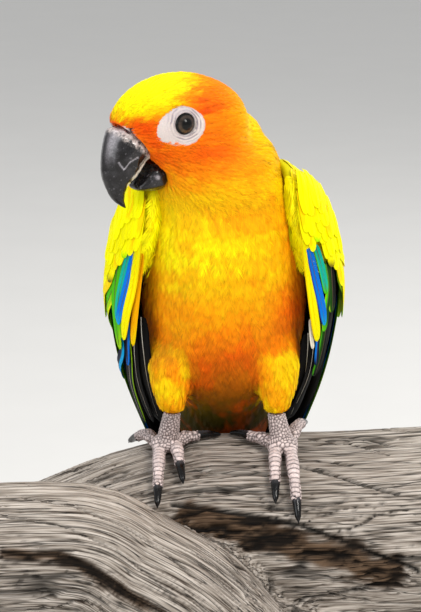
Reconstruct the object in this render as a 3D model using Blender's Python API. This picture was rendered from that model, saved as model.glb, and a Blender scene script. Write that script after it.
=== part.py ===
"""A life-size sun conure on a cut length of weathered branch, held over a flat base by two rods.

Metres, +Z up. The origin is the middle of the base's underside. The bird's belly faces -Y, and its head is
turned to its right. Sections are in millimetres from the point on the branch's top between the feet.
"""

import math

import bmesh
import bpy
from mathutils import Matrix, Vector

MM = 0.001
GAP = 0.3 * MM
CLEARANCE = 1.5 * GAP
SHARP_ANGLE = math.radians(40)

# Stand
BASE_WIDTH, BASE_DEPTH, BASE_THICK = 150 * MM, 130 * MM, 12 * MM
BASE_CORNER, CORNER_STEPS, BASE_BEVEL, BEVEL_STEPS = 14 * MM, 3, 2 * MM, 2
ROD_RADIUS, ROD_X, ROD_Y = 3 * MM, 36 * MM, 4 * MM
ROD_SEAT = 7 * MM
PERCH_TOP = 140 * MM
ROD_SIDES = 20

# Perch: a stem with a ridge along its top, and a limb (x, y, z, radius) that crosses in front of it
PERCH_HALF, PERCH_TRIM = 64.0, 1.0
STEM_RADIUS, STEM_Y = 27.0, 1.0
STEM_FALL, STEM_FALL_AT, STEM_FALL_EASE = 10.8, 41.0, 0.25
STEM_RISE, STEM_RISE_AT = 1.8, 54.0
RIDGE_HEIGHT, RIDGE_TURN, RIDGE_SPREAD = 3.0, math.radians(-12), math.radians(14)
STEM_SIDES, STEM_STEPS, LIMB_SIDES, LIMB_STEPS = 48, 32, 24, 4
LIMB = [
    (-72.0, -37.0, -21.5, 20.0),
    (-40.0, -37.0, -21.3, 20.0),
    (-26.8, -37.0, -27.8, 20.0),
    (-13.6, -37.0, -35.3, 20.0),
    (-2.0, -36.0, -45.0, 19.0),
    (8.4, -33.0, -53.0, 17.0),
    (26.0, -22.0, -57.0, 14.0),
    (42.0, -8.0, -47.0, 10.0),
]
PERCH_VOXEL, PERCH_SMOOTH, PERCH_SHARE = 2.2 * MM, 3, 0.05

# Body: the middle of each section in y and z, half its width, and its depth behind and in front of the middle
TRUNK = [
    (-15.5, 89.0, 13.5, 12.5, 13.0),
    (-10.0, 77.0, 18.3, 15.0, 18.0),
    (-5.0, 64.0, 22.3, 18.5, 21.8),
    (2.0, 47.0, 23.8, 19.3, 23.0),
    (9.0, 31.0, 22.5, 18.0, 22.3),
    (18.0, 15.0, 17.5, 14.0, 14.8),
    (28.5, -2.0, 12.5, 9.0, 9.8),
    (39.0, -22.0, 10.2, 4.9, 6.2),
]
TAIL = [
    (39.0, -22.0, 10.2, 4.9, 6.2),
    (50.0, -41.0, 9.6, 3.0, 3.8),
    (61.0, -61.0, 9.6, 1.7, 2.0),
    (72.0, -81.5, 8.2, 1.1, 1.3),
    (81.5, -99.0, 5.4, 0.8, 0.9),
    (87.0, -109.0, 2.2, 0.6, 0.6),
]
TAIL_CUT = (33.5, -11.5)
TAIL_SIDES, TAIL_STEPS = 12, 3
BODY_STEPS = 4
BODY_SIDES, BODY_VOXEL, BODY_SMOOTH, BODY_SHARE = 32, 1.0 * MM, 9, 0.029

# Neck: the middle of each section, half its width and half its depth
NECK = [
    (-9.0, -14.5, 92.0, 14.0, 13.5),
    (-5.0, -14.0, 84.5, 17.0, 15.5),
    (-2.0, -12.5, 77.0, 19.0, 16.8),
    (0.0, -9.0, 68.0, 20.0, 17.0),
]
NECK_STEPS = 3
NECK_CUT, NECK_CUT_NORMAL = (-1.0, -12.0, 73.0), (0.0, -0.25, 1.0)

# Head frame: its origin is midway between the eyes
HEAD_AT = (-16.9, -19.2, 96.8)
HEAD_YAW, HEAD_PITCH = math.radians(60), math.radians(-8)
# Sections by their top and bottom point, forward and up from the head's origin, and half their width
HEAD = [
    (-25.0, -3.0, -24.0, -8.0, 4.0),
    (-22.3, 3.6, -20.5, -14.0, 10.0),
    (-17.0, 8.0, -15.0, -19.0, 13.2),
    (-10.0, 11.2, -9.0, -21.0, 14.8),
    (-2.5, 12.2, -4.0, -21.0, 14.6),
    (4.5, 11.2, -0.5, -20.2, 13.4),
    (10.0, 9.0, 2.0, -19.0, 11.6),
    (14.0, 6.0, 3.4, -18.0, 9.4),
    (16.3, 3.0, 4.3, -16.4, 7.6),
    (16.2, 0.6, 4.8, -13.5, 6.4),
]
UPPER_BILL = [
    (12.6, 0.0, 5.2, -7.2, 5.6),
    (16.5, 0.5, 8.2, -8.9, 6.2),
    (18.7, -3.6, 10.4, -11.0, 5.9),
    (20.0, -8.3, 12.1, -13.2, 5.1),
    (20.3, -12.9, 13.7, -14.7, 4.0),
    (19.2, -17.3, 14.6, -16.9, 2.7),
    (17.3, -20.2, 15.0, -19.6, 1.5),
    (14.8, -22.3, 14.5, -22.1, 0.4),
]
LOWER_BILL = [
    (3.6, -10.6, 3.2, -16.6, 5.2),
    (6.7, -10.9, 5.2, -18.2, 5.6),
    (8.8, -13.0, 8.3, -18.8, 5.0),
    (10.6, -15.1, 10.6, -18.2, 3.9),
    (11.9, -16.4, 11.7, -17.4, 2.2),
]
HEAD_NARROWING, HEAD_STEPS = -0.06, 3
JAW_CUT, JAW_CUT_LEAN = (-10.0, 0.0, -16.5), 0.35
UPPER_BILL_NARROWING, BILL_SIDES, BILL_STEPS = 0.22, 12, 2
EYE_RADIUS, EYE_SIDE, EYE_FORWARD = 4.2 * MM, 9.6 * MM, 0.1 * MM
EYE_SEGMENTS, EYE_RINGS = 12, 8

# Wing: the middle of each section in y and z, its outer half width, its outer depth in front and behind, its
# thickness at the side and at the back, and the angles of its front and rear edge, from the side to the back
WING = [
    (-9.0, 83.5, 18.0, 12.0, 11.5, 5.0, 2.6, -16.0, 58.0),
    (-10.0, 77.0, 25.6, 18.6, 18.6, 6.6, 3.2, -36.0, 72.0),
    (-5.0, 64.0, 31.2, 22.4, 22.8, 8.2, 3.6, -42.0, 81.0),
    (2.0, 47.0, 33.6, 23.6, 23.6, 8.4, 3.6, -31.0, 84.0),
    (9.0, 31.0, 32.2, 22.8, 22.2, 6.6, 3.4, -16.0, 85.0),
    (18.0, 15.0, 28.8, 16.0, 18.2, 3.6, 3.0, -6.0, 85.0),
    (28.5, -2.0, 23.2, 11.0, 13.0, 2.6, 2.5, 0.0, 85.0),
    (40.3, -21.0, 16.6, 8.0, 8.2, 2.2, 2.1, 6.0, 84.0),
    (52.5, -40.0, 10.6, 5.0, 5.4, 1.7, 1.6, 12.0, 82.0),
    (64.5, -61.5, 4.6, 3.0, 3.3, 1.0, 1.0, 14.0, 76.0),
]
WING_ARC, WING_EDGE, WING_STEPS = 7, 3, 2

# Legs
THIGH = [
    (12.5, 1.0, 36.0, 9.0, 10.5),
    (14.3, -3.0, 26.0, 8.0, 8.6),
    (15.1, -5.6, 18.0, 5.3, 6.2),
    (14.4, -6.8, 11.5, 3.6, 4.1),
]
THIGH_SIDES, THIGH_STEPS = 12, 3
SHANK_TOP = (14.3, -6.8, 12.6)
SHANK = ((0.0, 2.3), (0.35, 2.6), (0.7, 3.0), (1.0, 2.8))
PALM_HALF, PALM_LIFT, PALM_SEGMENTS, PALM_RINGS = (4.5, 4.2, 2.7), 3.1, 16, 10
TOE_RADIUS, TOE_TIP_RADIUS, TOE_KNUCKLES, TOE_PLAY = 2.0, 1.5, 0.14, 0.45
TOE_SIDES, TOE_STEPS = 12, 8
# Each foot stands at (x, y) on the branch. Its toes are (name, start across the foot, degrees off straight
# ahead and outwards, length along the branch, height of the arch).
FEET = {
    "left": (16.3, -6.0, [
        ("inner_front", -2.1, 0.0, 13.4, 0.5),
        ("outer_front", 2.1, 5.0, 18.6, 0.6),
        ("inner_rear", -1.8, -128.0, 9.5, 0.8),
        ("outer_rear", 2.0, 163.0, 12.5, 1.4),
    ]),
    "right": (16.0, -2.5, [
        ("inner_front", -2.2, -9.0, 9.6, 1.0),
        ("outer_front", 2.1, 1.0, 16.2, 0.6),
        ("inner_rear", -1.8, -112.0, 7.5, 0.8),
        ("outer_rear", 2.0, 148.0, 12.0, 0.8),
    ]),
}
FOOT_VOXEL, FOOT_SMOOTH, FOOT_SHARE = 0.45 * MM, 3, 0.033
CLAW_LENGTH, CLAW_RADIUS, CLAW_TIP_RADIUS, CLAW_CURL, CLAW_SEAT = 7.6, 0.95, 0.1, 0.5, 1.6
CLAW_SIDES, CLAW_STEPS = 6, 5

MATERIALS = {
    "plumage_orange": ((0.95, 0.38, 0.02), 0.75, 0.0),
    "plumage_yellow": ((0.98, 0.78, 0.03), 0.75, 0.0),
    "plumage_green": ((0.25, 0.45, 0.05), 0.6, 0.0),
    "bill_horn": ((0.035, 0.03, 0.03), 0.35, 0.0),
    "eye_glass": ((0.02, 0.015, 0.012), 0.08, 0.0),
    "foot_skin": ((0.55, 0.46, 0.46), 0.7, 0.0),
    "claw_horn": ((0.02, 0.02, 0.02), 0.3, 0.0),
    "weathered_wood": ((0.38, 0.33, 0.27), 0.9, 0.0),
    "base_wood": ((0.10, 0.07, 0.05), 0.5, 0.0),
    "rod_steel": ((0.6, 0.6, 0.6), 0.3, 1.0),
}


def clear_scene():
    """Removes every object the file holds."""
    for old in list(bpy.data.objects):
        bpy.data.objects.remove(old, do_unlink=True)


def make_material(name):
    """A plain Principled material from the table."""
    colour, roughness, metallic = MATERIALS[name]
    found = bpy.data.materials.get(name)
    if found:
        return found
    material = bpy.data.materials.new(name)
    material.use_nodes = True
    shader = material.node_tree.nodes["Principled BSDF"]
    shader.inputs["Base Color"].default_value = (*colour, 1.0)
    shader.inputs["Roughness"].default_value = roughness
    shader.inputs["Metallic"].default_value = metallic
    return material


def place(x, y, z):
    """A point given in millimetres from the branch's top, in the part's own frame."""
    return Vector((x * MM, y * MM, z * MM + PERCH_TOP))


def head_axes():
    """The head's forward, left and up directions."""
    level = Vector((-math.sin(HEAD_YAW), -math.cos(HEAD_YAW), 0.0))
    left = Vector((-level.y, level.x, 0.0))
    forward = level * math.cos(HEAD_PITCH) + Vector((0.0, 0.0, math.sin(HEAD_PITCH)))
    return forward, left, forward.cross(left)


def head_place(forward, side, up):
    """A point in millimetres along the head's own axes, in the part's own frame."""
    ahead, left, above = head_axes()
    return place(*HEAD_AT) + (ahead * forward + left * side + above * up) * MM


def smooth_rows(rows, steps):
    """Rows of numbers with steps - 1 more between each two, on a Catmull-Rom curve."""
    made = []
    for i in range(len(rows) - 1):
        before, here = rows[max(i - 1, 0)], rows[i]
        after, beyond = rows[i + 1], rows[min(i + 2, len(rows) - 1)]
        for k in range(steps):
            t = k / steps
            made.append(
                tuple(
                    0.5 * (2 * b + (c - a) * t + (2 * a - 5 * b + 4 * c - d) * t * t
                           + (3 * b - a - 3 * c + d) * t**3)
                    for a, b, c, d in zip(before, here, after, beyond)
                )
            )
    made.append(tuple(rows[-1]))
    return made


def skin_rings(rings, name, material):
    """One closed mesh object through rings of equally many points, with a flat face at each end."""
    shell = bmesh.new()
    loops = [[shell.verts.new(point) for point in ring] for ring in rings]
    for one, two in zip(loops, loops[1:]):
        for k in range(len(one)):
            n = (k + 1) % len(one)
            shell.faces.new((one[k], one[n], two[n], two[k]))
    shell.faces.new(list(reversed(loops[0])))
    shell.faces.new(loops[-1])
    bmesh.ops.recalc_face_normals(shell, faces=shell.faces)
    mesh = bpy.data.meshes.new(name)
    shell.to_mesh(mesh)
    shell.free()
    return add_object(name, mesh, material)


def add_object(name, mesh, material):
    """A linked object with one material and smooth shading."""
    made = bpy.data.objects.new(name, mesh)
    bpy.context.scene.collection.objects.link(made)
    mesh.materials.clear()
    mesh.materials.append(make_material(material))
    mesh.shade_smooth()
    mesh.set_sharp_from_angle(angle=SHARP_ANGLE)
    return made


def settle(target):
    """Applies the object's modifiers to a mesh of its own."""
    graph = bpy.context.evaluated_depsgraph_get()
    mesh = bpy.data.meshes.new_from_object(target.evaluated_get(graph))
    target.modifiers.clear()
    target.data = mesh
    return target


def remove(*objects):
    """Deletes helper objects."""
    for old in objects:
        bpy.data.objects.remove(old, do_unlink=True)


def joined(name, parts, material):
    """One object that holds copies of the parts' meshes, which it removes."""
    whole = bmesh.new()
    for part in parts:
        whole.from_mesh(part.data)
    mesh = bpy.data.meshes.new(name)
    whole.to_mesh(mesh)
    whole.free()
    remove(*parts)
    return add_object(name, mesh, material)


def fused(target, voxel, smoothing, share):
    """Melts overlapping lofts into one closed skin, softens it and thins its triangles."""
    melt = target.modifiers.new("melt", "REMESH")
    melt.mode = "VOXEL"
    melt.voxel_size = voxel
    soften = target.modifiers.new("soften", "SMOOTH")
    soften.iterations = smoothing
    thin = target.modifiers.new("thin", "DECIMATE")
    thin.ratio = share
    return settle(target)


def swollen(source, amount):
    """A copy of an object, its surface moved out by amount along its normals."""
    copy = source.copy()
    copy.data = source.data.copy()
    bpy.context.scene.collection.objects.link(copy)
    grow = copy.modifiers.new("grow", "DISPLACE")
    grow.strength = amount
    grow.mid_level = 0.0
    return settle(copy)


def cut_clear(target, source):
    """Cuts the swollen shape of source out of target."""
    cutter = swollen(source, CLEARANCE)
    cut = target.modifiers.new("cut", "BOOLEAN")
    cut.operation = "DIFFERENCE"
    cut.object = cutter
    cut.solver = "EXACT"
    settle(target)
    remove(cutter)


def sliced(source, name, material, planes):
    """The share of source that lies ahead of each plane (point, normal), half a gap off it and closed."""
    piece = bmesh.new()
    piece.from_mesh(source.data)
    for point, normal in planes:
        normal = Vector(normal).normalized()
        everything = piece.verts[:] + piece.edges[:] + piece.faces[:]
        made = bmesh.ops.bisect_plane(
            piece, geom=everything, dist=GAP / 100, plane_co=point + normal * (GAP / 2),
            plane_no=normal, clear_inner=True,
        )
        rim = [e for e in made["geom_cut"] if isinstance(e, bmesh.types.BMEdge)]
        bmesh.ops.contextual_create(piece, geom=rim)
    bmesh.ops.recalc_face_normals(piece, faces=piece.faces)
    mesh = bpy.data.meshes.new(name)
    piece.to_mesh(mesh)
    piece.free()
    return add_object(name, mesh, material)


def body_rings(rows, sides):
    """Rings across the body's mid line, each leaning with it."""
    rings = []
    for (y, z, side, back, front), rear in zip(rows, rearward(rows)):
        ring = []
        for k in range(sides):
            turn = 2 * math.pi * k / sides
            depth = math.cos(turn) * (back if math.cos(turn) > 0 else front)
            ring.append(place(side * math.sin(turn), y, z) + rear * depth * MM)
        rings.append(ring)
    return rings


def head_rings(rows, sides, narrowing):
    """Rings between a top and a bottom point in the head's frame, narrower by that share towards the top."""
    rings = []
    for top_s, top_h, low_s, low_h, half in rows:
        ring = []
        for k in range(sides):
            turn = 2 * math.pi * k / sides
            along = (1 - math.cos(turn)) / 2
            width = half * math.sin(turn) * (1 - narrowing * math.cos(turn))
            ring.append(
                head_place(top_s + (low_s - top_s) * along, width, top_h + (low_h - top_h) * along)
            )
        rings.append(ring)
    return rings


def level_rings(rows, sides, mirror=1.0):
    """Rings that lie level, from (x, y, z, half width, half depth)."""
    rings = []
    for x, y, z, side, deep in rows:
        turns = [2 * math.pi * k / sides for k in range(sides)]
        rings.append([place(x * mirror + side * math.cos(t), y + deep * math.sin(t), z) for t in turns])
    return rings


def tube_rings(points, radii, sides):
    """Rings square to a path of points in the part's frame."""
    rings = []
    across = None
    for i, (point, radius) in enumerate(zip(points, radii)):
        along = (points[min(i + 1, len(points) - 1)] - points[max(i - 1, 0)]).normalized()
        start = across if across else (Vector((1, 0, 0)) if abs(along.x) < 0.9 else Vector((0, 1, 0)))
        across = (start - along * start.dot(along)).normalized()
        other = along.cross(across)
        turns = [2 * math.pi * k / sides for k in range(sides)]
        rings.append([point + (across * math.cos(t) + other * math.sin(t)) * radius for t in turns])
    return rings


def wing_ring(row, rear, mirror):
    """One section of a folded wing: a crescent round the body with a round front edge."""
    y, z, wide, front, back, thick_side, thick_back, front_edge, rear_edge = row

    def point(degrees, inset):
        turn = math.radians(degrees)
        thick = thick_side + (thick_back - thick_side) * abs(math.sin(turn)) ** 1.5
        across = (wide - inset * thick) * math.cos(turn)
        deep = ((back if turn > 0 else front) - inset * thick) * math.sin(turn)
        return place(across * mirror, y, z) + rear * deep * MM

    reach = rear_edge - front_edge
    outer = [point(front_edge + reach * k / WING_ARC, 0.0) for k in range(WING_ARC + 1)]
    inner = [point(rear_edge - reach * k / WING_ARC, 1.0) for k in range(WING_ARC + 1)]
    first, last = inner[-1], outer[0]
    middle, half = (first + last) / 2, (last - first) / 2
    ahead = (last - outer[1]).normalized() * half.length
    turns = [math.pi * k / (WING_EDGE + 1) for k in range(1, WING_EDGE + 1)]
    edge = [middle - half * math.cos(t) + ahead * math.sin(t) for t in turns]
    return outer + inner + edge


def rearward(rows):
    """For each row that starts with y and z, the direction square to its neighbours' line, to the rear."""
    made = []
    for i in range(len(rows)):
        before, after = rows[max(i - 1, 0)], rows[min(i + 1, len(rows) - 1)]
        made.append(Vector((0.0, before[1] - after[1], after[0] - before[0])).normalized())
    return made


def make_wing(side_name, mirror):
    """A folded wing from shoulder to primary tips."""
    rows = smooth_rows(WING, WING_STEPS)
    rings = [wing_ring(row, rear, mirror) for row, rear in zip(rows, rearward(rows))]
    return skin_rings(rings, f"wing_{side_name}", "plumage_yellow")


def stem_drop(x):
    """How far the branch's top lies under its level at the bird's middle, at x, in millimetres."""
    if x > 0:
        return -STEM_RISE * (x / STEM_RISE_AT) ** 2
    return STEM_FALL * (x / STEM_FALL_AT) ** 2 * (1 + STEM_FALL_EASE * max(x / PERCH_HALF, -1.0))


def stem_radius(x, turn):
    """The branch's radius at x, in the direction turn from straight up towards the front."""
    turn = (turn + math.pi) % (2 * math.pi) - math.pi
    gnarls = 0.5 * math.sin(0.07 * x + 2 * turn) + 0.35 * math.sin(0.11 * x - 3 * turn + 1.0)
    ridge = RIDGE_HEIGHT * math.exp(-(((turn - RIDGE_TURN) / RIDGE_SPREAD) ** 2))
    return STEM_RADIUS + gnarls * (1 - math.cos(turn)) ** 0.5 + ridge


def stem_point(x, turn, lift=0.0):
    """A point on the branch, or lifted off it, in the part's frame."""
    radius = stem_radius(x, turn) + lift
    middle = -STEM_RADIUS - stem_drop(x)
    return place(x, STEM_Y - radius * math.sin(turn), middle + radius * math.cos(turn))


def make_perch():
    """The cut length of branch, stem and limb in one."""
    rings = []
    for i in range(STEM_STEPS + 1):
        x = PERCH_HALF * (2 * i / STEM_STEPS - 1)
        rings.append([stem_point(x, 2 * math.pi * k / STEM_SIDES) for k in range(STEM_SIDES)])
    stem = skin_rings(rings, "stem", "weathered_wood")
    rows = smooth_rows(LIMB, LIMB_STEPS)
    rings = tube_rings([place(*row[:3]) for row in rows], [row[3] * MM for row in rows], LIMB_SIDES)
    limb = skin_rings(rings, "limb", "weathered_wood")
    whole = joined("perch_whole", [stem, limb], "weathered_wood")
    fused(whole, PERCH_VOXEL, PERCH_SMOOTH, PERCH_SHARE)
    end = PERCH_HALF - PERCH_TRIM
    ends = [(place(-end, 0, 0), (1, 0, 0)), (place(end, 0, 0), (-1, 0, 0))]
    perch = sliced(whole, "perch", "weathered_wood", ends)
    remove(whole)
    return perch


def make_base():
    """The flat base, a rounded plate with an eased upper edge."""
    bpy.ops.mesh.primitive_cube_add(size=1.0, location=(0, 0, 0))
    base = bpy.context.active_object
    base.name = base.data.name = "stand_base"
    base.data.transform(Matrix.Diagonal((BASE_WIDTH, BASE_DEPTH, BASE_THICK, 1.0)))
    base.data.transform(Matrix.Translation((0, 0, BASE_THICK / 2)))
    plate = bmesh.new()
    plate.from_mesh(base.data)
    upright = [e for e in plate.edges if abs(e.verts[0].co.z - e.verts[1].co.z) > BASE_THICK / 2]
    bmesh.ops.bevel(
        plate, geom=upright, offset=BASE_CORNER, segments=CORNER_STEPS, affect="EDGES", profile=0.5
    )
    rim = [e for e in plate.edges if min(v.co.z for v in e.verts) > BASE_THICK / 2]
    bmesh.ops.bevel(plate, geom=rim, offset=BASE_BEVEL, segments=BEVEL_STEPS, affect="EDGES", profile=0.5)
    plate.to_mesh(base.data)
    plate.free()
    base.data.materials.clear()
    base.data.materials.append(make_material("base_wood"))
    base.data.shade_smooth()
    base.data.set_sharp_from_angle(angle=SHARP_ANGLE)
    return base


def make_rods(base, perch):
    """Two rods, each seated in a hole in the base and in the branch's underside."""
    for name, x in (("stand_rod_left", ROD_X), ("stand_rod_right", -ROD_X)):
        low = BASE_THICK - ROD_SEAT
        underside = PERCH_TOP - (2 * STEM_RADIUS + stem_drop(x / MM)) * MM
        high = underside + ROD_SEAT
        bpy.ops.mesh.primitive_cylinder_add(
            vertices=ROD_SIDES, radius=ROD_RADIUS, depth=high - low, location=(0, 0, 0)
        )
        rod = bpy.context.active_object
        rod.name = rod.data.name = name
        rod.data.transform(Matrix.Translation((x, ROD_Y, (high + low) / 2)))
        rod.data.materials.append(make_material("rod_steel"))
        rod.data.shade_smooth()
        rod.data.set_sharp_from_angle(angle=SHARP_ANGLE)
        cut_clear(base, rod)
        cut_clear(perch, rod)


def make_body():
    """The head, neck and trunk, parted by thin cuts from one skin, and the tail; gives that skin too."""
    slot = "plumage_orange"
    lofts = [
        skin_rings(body_rings(smooth_rows(TRUNK, BODY_STEPS), BODY_SIDES), "trunk_loft", slot),
        skin_rings(level_rings(smooth_rows(NECK, NECK_STEPS), BODY_SIDES), "neck_loft", slot),
        skin_rings(head_rings(smooth_rows(HEAD, HEAD_STEPS), BODY_SIDES, HEAD_NARROWING), "head_loft", slot),
    ]
    whole = fused(joined("body_whole", lofts, slot), BODY_VOXEL, BODY_SMOOTH, BODY_SHARE)

    ahead, _, above = head_axes()
    jaw, jaw_normal = head_place(*JAW_CUT), above + ahead * JAW_CUT_LEAN
    root, root_normal = place(*NECK_CUT), Vector(NECK_CUT_NORMAL)
    vent, vent_normal = place(0.0, *TAIL_CUT), place(0.0, *TRUNK[-2][:2]) - place(0.0, *TRUNK[-1][:2])
    tail_rows = smooth_rows([TRUNK[-2], *TAIL], TAIL_STEPS)
    tail_whole = skin_rings(body_rings(tail_rows, TAIL_SIDES), "tail_loft", "plumage_green")
    parts = {
        "head": sliced(whole, "head", slot, [(jaw, jaw_normal)]),
        "neck": sliced(whole, "neck", slot, [(jaw, -jaw_normal), (root, root_normal)]),
        "trunk": sliced(whole, "trunk", slot, [(root, -root_normal), (vent, vent_normal)]),
        "tail": sliced(tail_whole, "tail", "plumage_green", [(vent, -vent_normal)]),
    }
    remove(tail_whole)
    return whole, parts


def make_bill(head):
    """The two halves of the bill, seated in the face."""
    rings = head_rings(smooth_rows(UPPER_BILL, BILL_STEPS), BILL_SIDES, UPPER_BILL_NARROWING)
    upper = skin_rings(rings, "bill_upper", "bill_horn")
    rings = head_rings(smooth_rows(LOWER_BILL, BILL_STEPS), BILL_SIDES, 0.0)
    lower = skin_rings(rings, "bill_lower", "bill_horn")
    cut_clear(lower, upper)
    cut_clear(head, upper)
    cut_clear(head, lower)


def make_eyes(head):
    """Two eyeballs sunk in the head."""
    ahead, left, _ = head_axes()
    for name, side in (("eye_left", 1.0), ("eye_right", -1.0)):
        bpy.ops.mesh.primitive_uv_sphere_add(
            segments=EYE_SEGMENTS, ring_count=EYE_RINGS, radius=EYE_RADIUS, location=(0, 0, 0)
        )
        eye = bpy.context.active_object
        eye.name = eye.data.name = name
        turn = (left * side).to_track_quat("Z", "Y").to_matrix().to_4x4()
        middle = place(*HEAD_AT) + left * EYE_SIDE * side + ahead * EYE_FORWARD
        eye.data.transform(Matrix.Translation(middle) @ turn)
        eye.data.materials.append(make_material("eye_glass"))
        eye.data.shade_smooth()
        cut_clear(head, eye)


def toe_path(mirror, root, toe, radii):
    """Points of a toe that arches along the branch from under the shank."""
    x, y = root
    _, across, spread, length, arch = toe
    spread = math.radians(spread)
    first_turn = math.asin((STEM_Y - y) / STEM_RADIUS)
    points = []
    for k, radius in enumerate(radii):
        share = k / (len(radii) - 1)
        out = x + across + length * share * math.sin(spread)
        turn = first_turn + length * share * math.cos(spread) / STEM_RADIUS
        points.append(stem_point(mirror * out, turn, radius + TOE_PLAY + arch * math.sin(math.pi * share)))
    return points


def toe_radius(share):
    """A toe's radius at a share of its length, with a slight swelling at each joint."""
    return TOE_RADIUS + (TOE_TIP_RADIUS - TOE_RADIUS) * share + TOE_KNUCKLES * math.cos(4 * math.pi * share)


def make_foot(side_name, mirror):
    """A shank and a palm with four toes as one piece, and a claw for each toe."""
    x, y, toes = FEET[side_name]
    palm = stem_point(mirror * x, math.asin((STEM_Y - y) / STEM_RADIUS), PALM_LIFT)
    top = place(SHANK_TOP[0] * mirror, *SHANK_TOP[1:])
    path = [top.lerp(palm, share) for share, _ in SHANK]
    rings = tube_rings(path, [radius * MM for _, radius in SHANK], TOE_SIDES)
    tubes = [skin_rings(rings, "shank", "foot_skin"), make_palm(palm)]
    claws = []
    for toe in toes:
        radii = [toe_radius(k / TOE_STEPS) for k in range(TOE_STEPS + 1)]
        points = toe_path(mirror, (x, y), toe, radii)
        end = points[-1] + (points[-1] - points[-2]).normalized() * TOE_TIP_RADIUS * 0.5 * MM
        rings = tube_rings([*points, end], [r * MM for r in (*radii, TOE_TIP_RADIUS * 0.6)], TOE_SIDES)
        tubes.append(skin_rings(rings, f"toe_{toe[0]}", "foot_skin"))
        claws.append(make_claw(f"claw_{side_name}_{toe[0]}", points, end))
    whole = fused(joined("foot_whole", tubes, "foot_skin"), FOOT_VOXEL, FOOT_SMOOTH, FOOT_SHARE)
    thigh_end = place(0.0, 0.0, THIGH[-1][2]) - Vector((0.0, 0.0, GAP / 2))
    foot = sliced(whole, f"foot_{side_name}", "foot_skin", [(thigh_end, (0.0, 0.0, -1.0))])
    remove(whole)
    for claw in claws:
        cut_clear(foot, claw)


def make_palm(middle):
    """The flat pad that the toes spread from."""
    bpy.ops.mesh.primitive_uv_sphere_add(
        segments=PALM_SEGMENTS, ring_count=PALM_RINGS, radius=1.0, location=(0, 0, 0)
    )
    palm = bpy.context.active_object
    palm.data.transform(Matrix.Diagonal((*(half * MM for half in PALM_HALF), 1.0)))
    palm.data.transform(Matrix.Translation(middle))
    return palm


def make_claw(name, points, end):
    """A curved claw that grows from the end of a toe and bends down towards the branch."""
    along = (points[-1] - points[-3]).normalized()
    middle = place(points[-1].x / MM, STEM_Y, -STEM_RADIUS - stem_drop(points[-1].x / MM))
    outward = (points[-1] - middle).normalized()
    outward = (outward - along * outward.dot(along)).normalized()
    path, radii = [], []
    spot = end - along * CLAW_SEAT * MM
    for k in range(CLAW_STEPS + 1):
        share = k / CLAW_STEPS
        bend = CLAW_CURL * (share - 0.25)
        path.append(spot.copy())
        radii.append((CLAW_RADIUS * (1 - share) ** 0.8 + CLAW_TIP_RADIUS) * MM)
        spot += (along * math.cos(bend) - outward * math.sin(bend)) * (CLAW_LENGTH / CLAW_STEPS) * MM
    return skin_rings(tube_rings(path, radii, CLAW_SIDES), name, "claw_horn")


def make_thigh(side_name, mirror, flesh):
    """The feathered leg, from the belly to where the bare shank shows."""
    rings = level_rings(smooth_rows(THIGH, THIGH_STEPS), THIGH_SIDES, mirror)
    thigh = skin_rings(rings, f"thigh_{side_name}", "plumage_yellow")
    cut_clear(thigh, flesh)


def build():
    """Makes every piece of the model."""
    clear_scene()
    perch = make_perch()
    make_rods(make_base(), perch)
    flesh, body = make_body()
    make_bill(body["head"])
    make_eyes(body["head"])
    for side_name, mirror in (("left", 1.0), ("right", -1.0)):
        wing = make_wing(side_name, mirror)
        cut_clear(wing, flesh)
        cut_clear(wing, body["tail"])
        make_thigh(side_name, mirror, flesh)
        make_foot(side_name, mirror)
    remove(flesh)


build()
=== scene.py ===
"""A life-size sun conure as a still model on a cut branch, dressed over its CAD frame.

Lengths in the tables are millimetres in the bird's own frame: x to the bird's left, -y towards the camera,
z up from the branch's top between the feet. Meshes are written in metres in the frame's own place.
"""

import logging
import math
from dataclasses import dataclass, field
from enum import Enum
from typing import Callable, Optional, Sequence

import bmesh
import bpy
import numpy as np
from mathutils import Matrix, Vector
from mathutils.bvhtree import BVHTree
from mathutils.kdtree import KDTree

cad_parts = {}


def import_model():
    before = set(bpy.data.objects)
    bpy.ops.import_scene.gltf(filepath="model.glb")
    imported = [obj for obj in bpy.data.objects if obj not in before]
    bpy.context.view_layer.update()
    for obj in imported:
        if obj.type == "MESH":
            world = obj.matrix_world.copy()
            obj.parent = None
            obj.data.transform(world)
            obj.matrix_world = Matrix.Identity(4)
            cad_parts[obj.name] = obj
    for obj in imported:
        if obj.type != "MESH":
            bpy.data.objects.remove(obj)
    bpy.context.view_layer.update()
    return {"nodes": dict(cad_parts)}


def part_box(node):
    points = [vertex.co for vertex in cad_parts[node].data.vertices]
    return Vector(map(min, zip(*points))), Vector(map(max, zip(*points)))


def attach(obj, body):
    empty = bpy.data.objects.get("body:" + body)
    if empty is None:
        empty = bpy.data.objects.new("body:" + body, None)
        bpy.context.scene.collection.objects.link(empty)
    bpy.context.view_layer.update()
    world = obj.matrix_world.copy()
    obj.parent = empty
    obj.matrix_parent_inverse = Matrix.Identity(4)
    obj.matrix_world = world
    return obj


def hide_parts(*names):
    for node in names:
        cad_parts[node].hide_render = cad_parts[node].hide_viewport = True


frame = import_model()

LOG = logging.getLogger("conure")
MM = 0.001
PERCH_TOP = 140.0
PIXEL = 0.28
MIDDLE_COLUMN, FEET_ROW = 224.0, 447.0
PHOTO_HEIGHT = 612
ELEVATION = math.radians(12.0)
DISTANCE = 1.0
Points = np.ndarray


def hexed(code: str) -> np.ndarray:
    """A screen colour written as six hex digits, as linear red, green and blue."""
    screen = np.array([int(code[i:i + 2], 16) / 255 for i in (0, 2, 4)])
    return np.where(screen <= 0.04045, screen / 12.92, ((screen + 0.055) / 1.055) ** 2.4)


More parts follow.
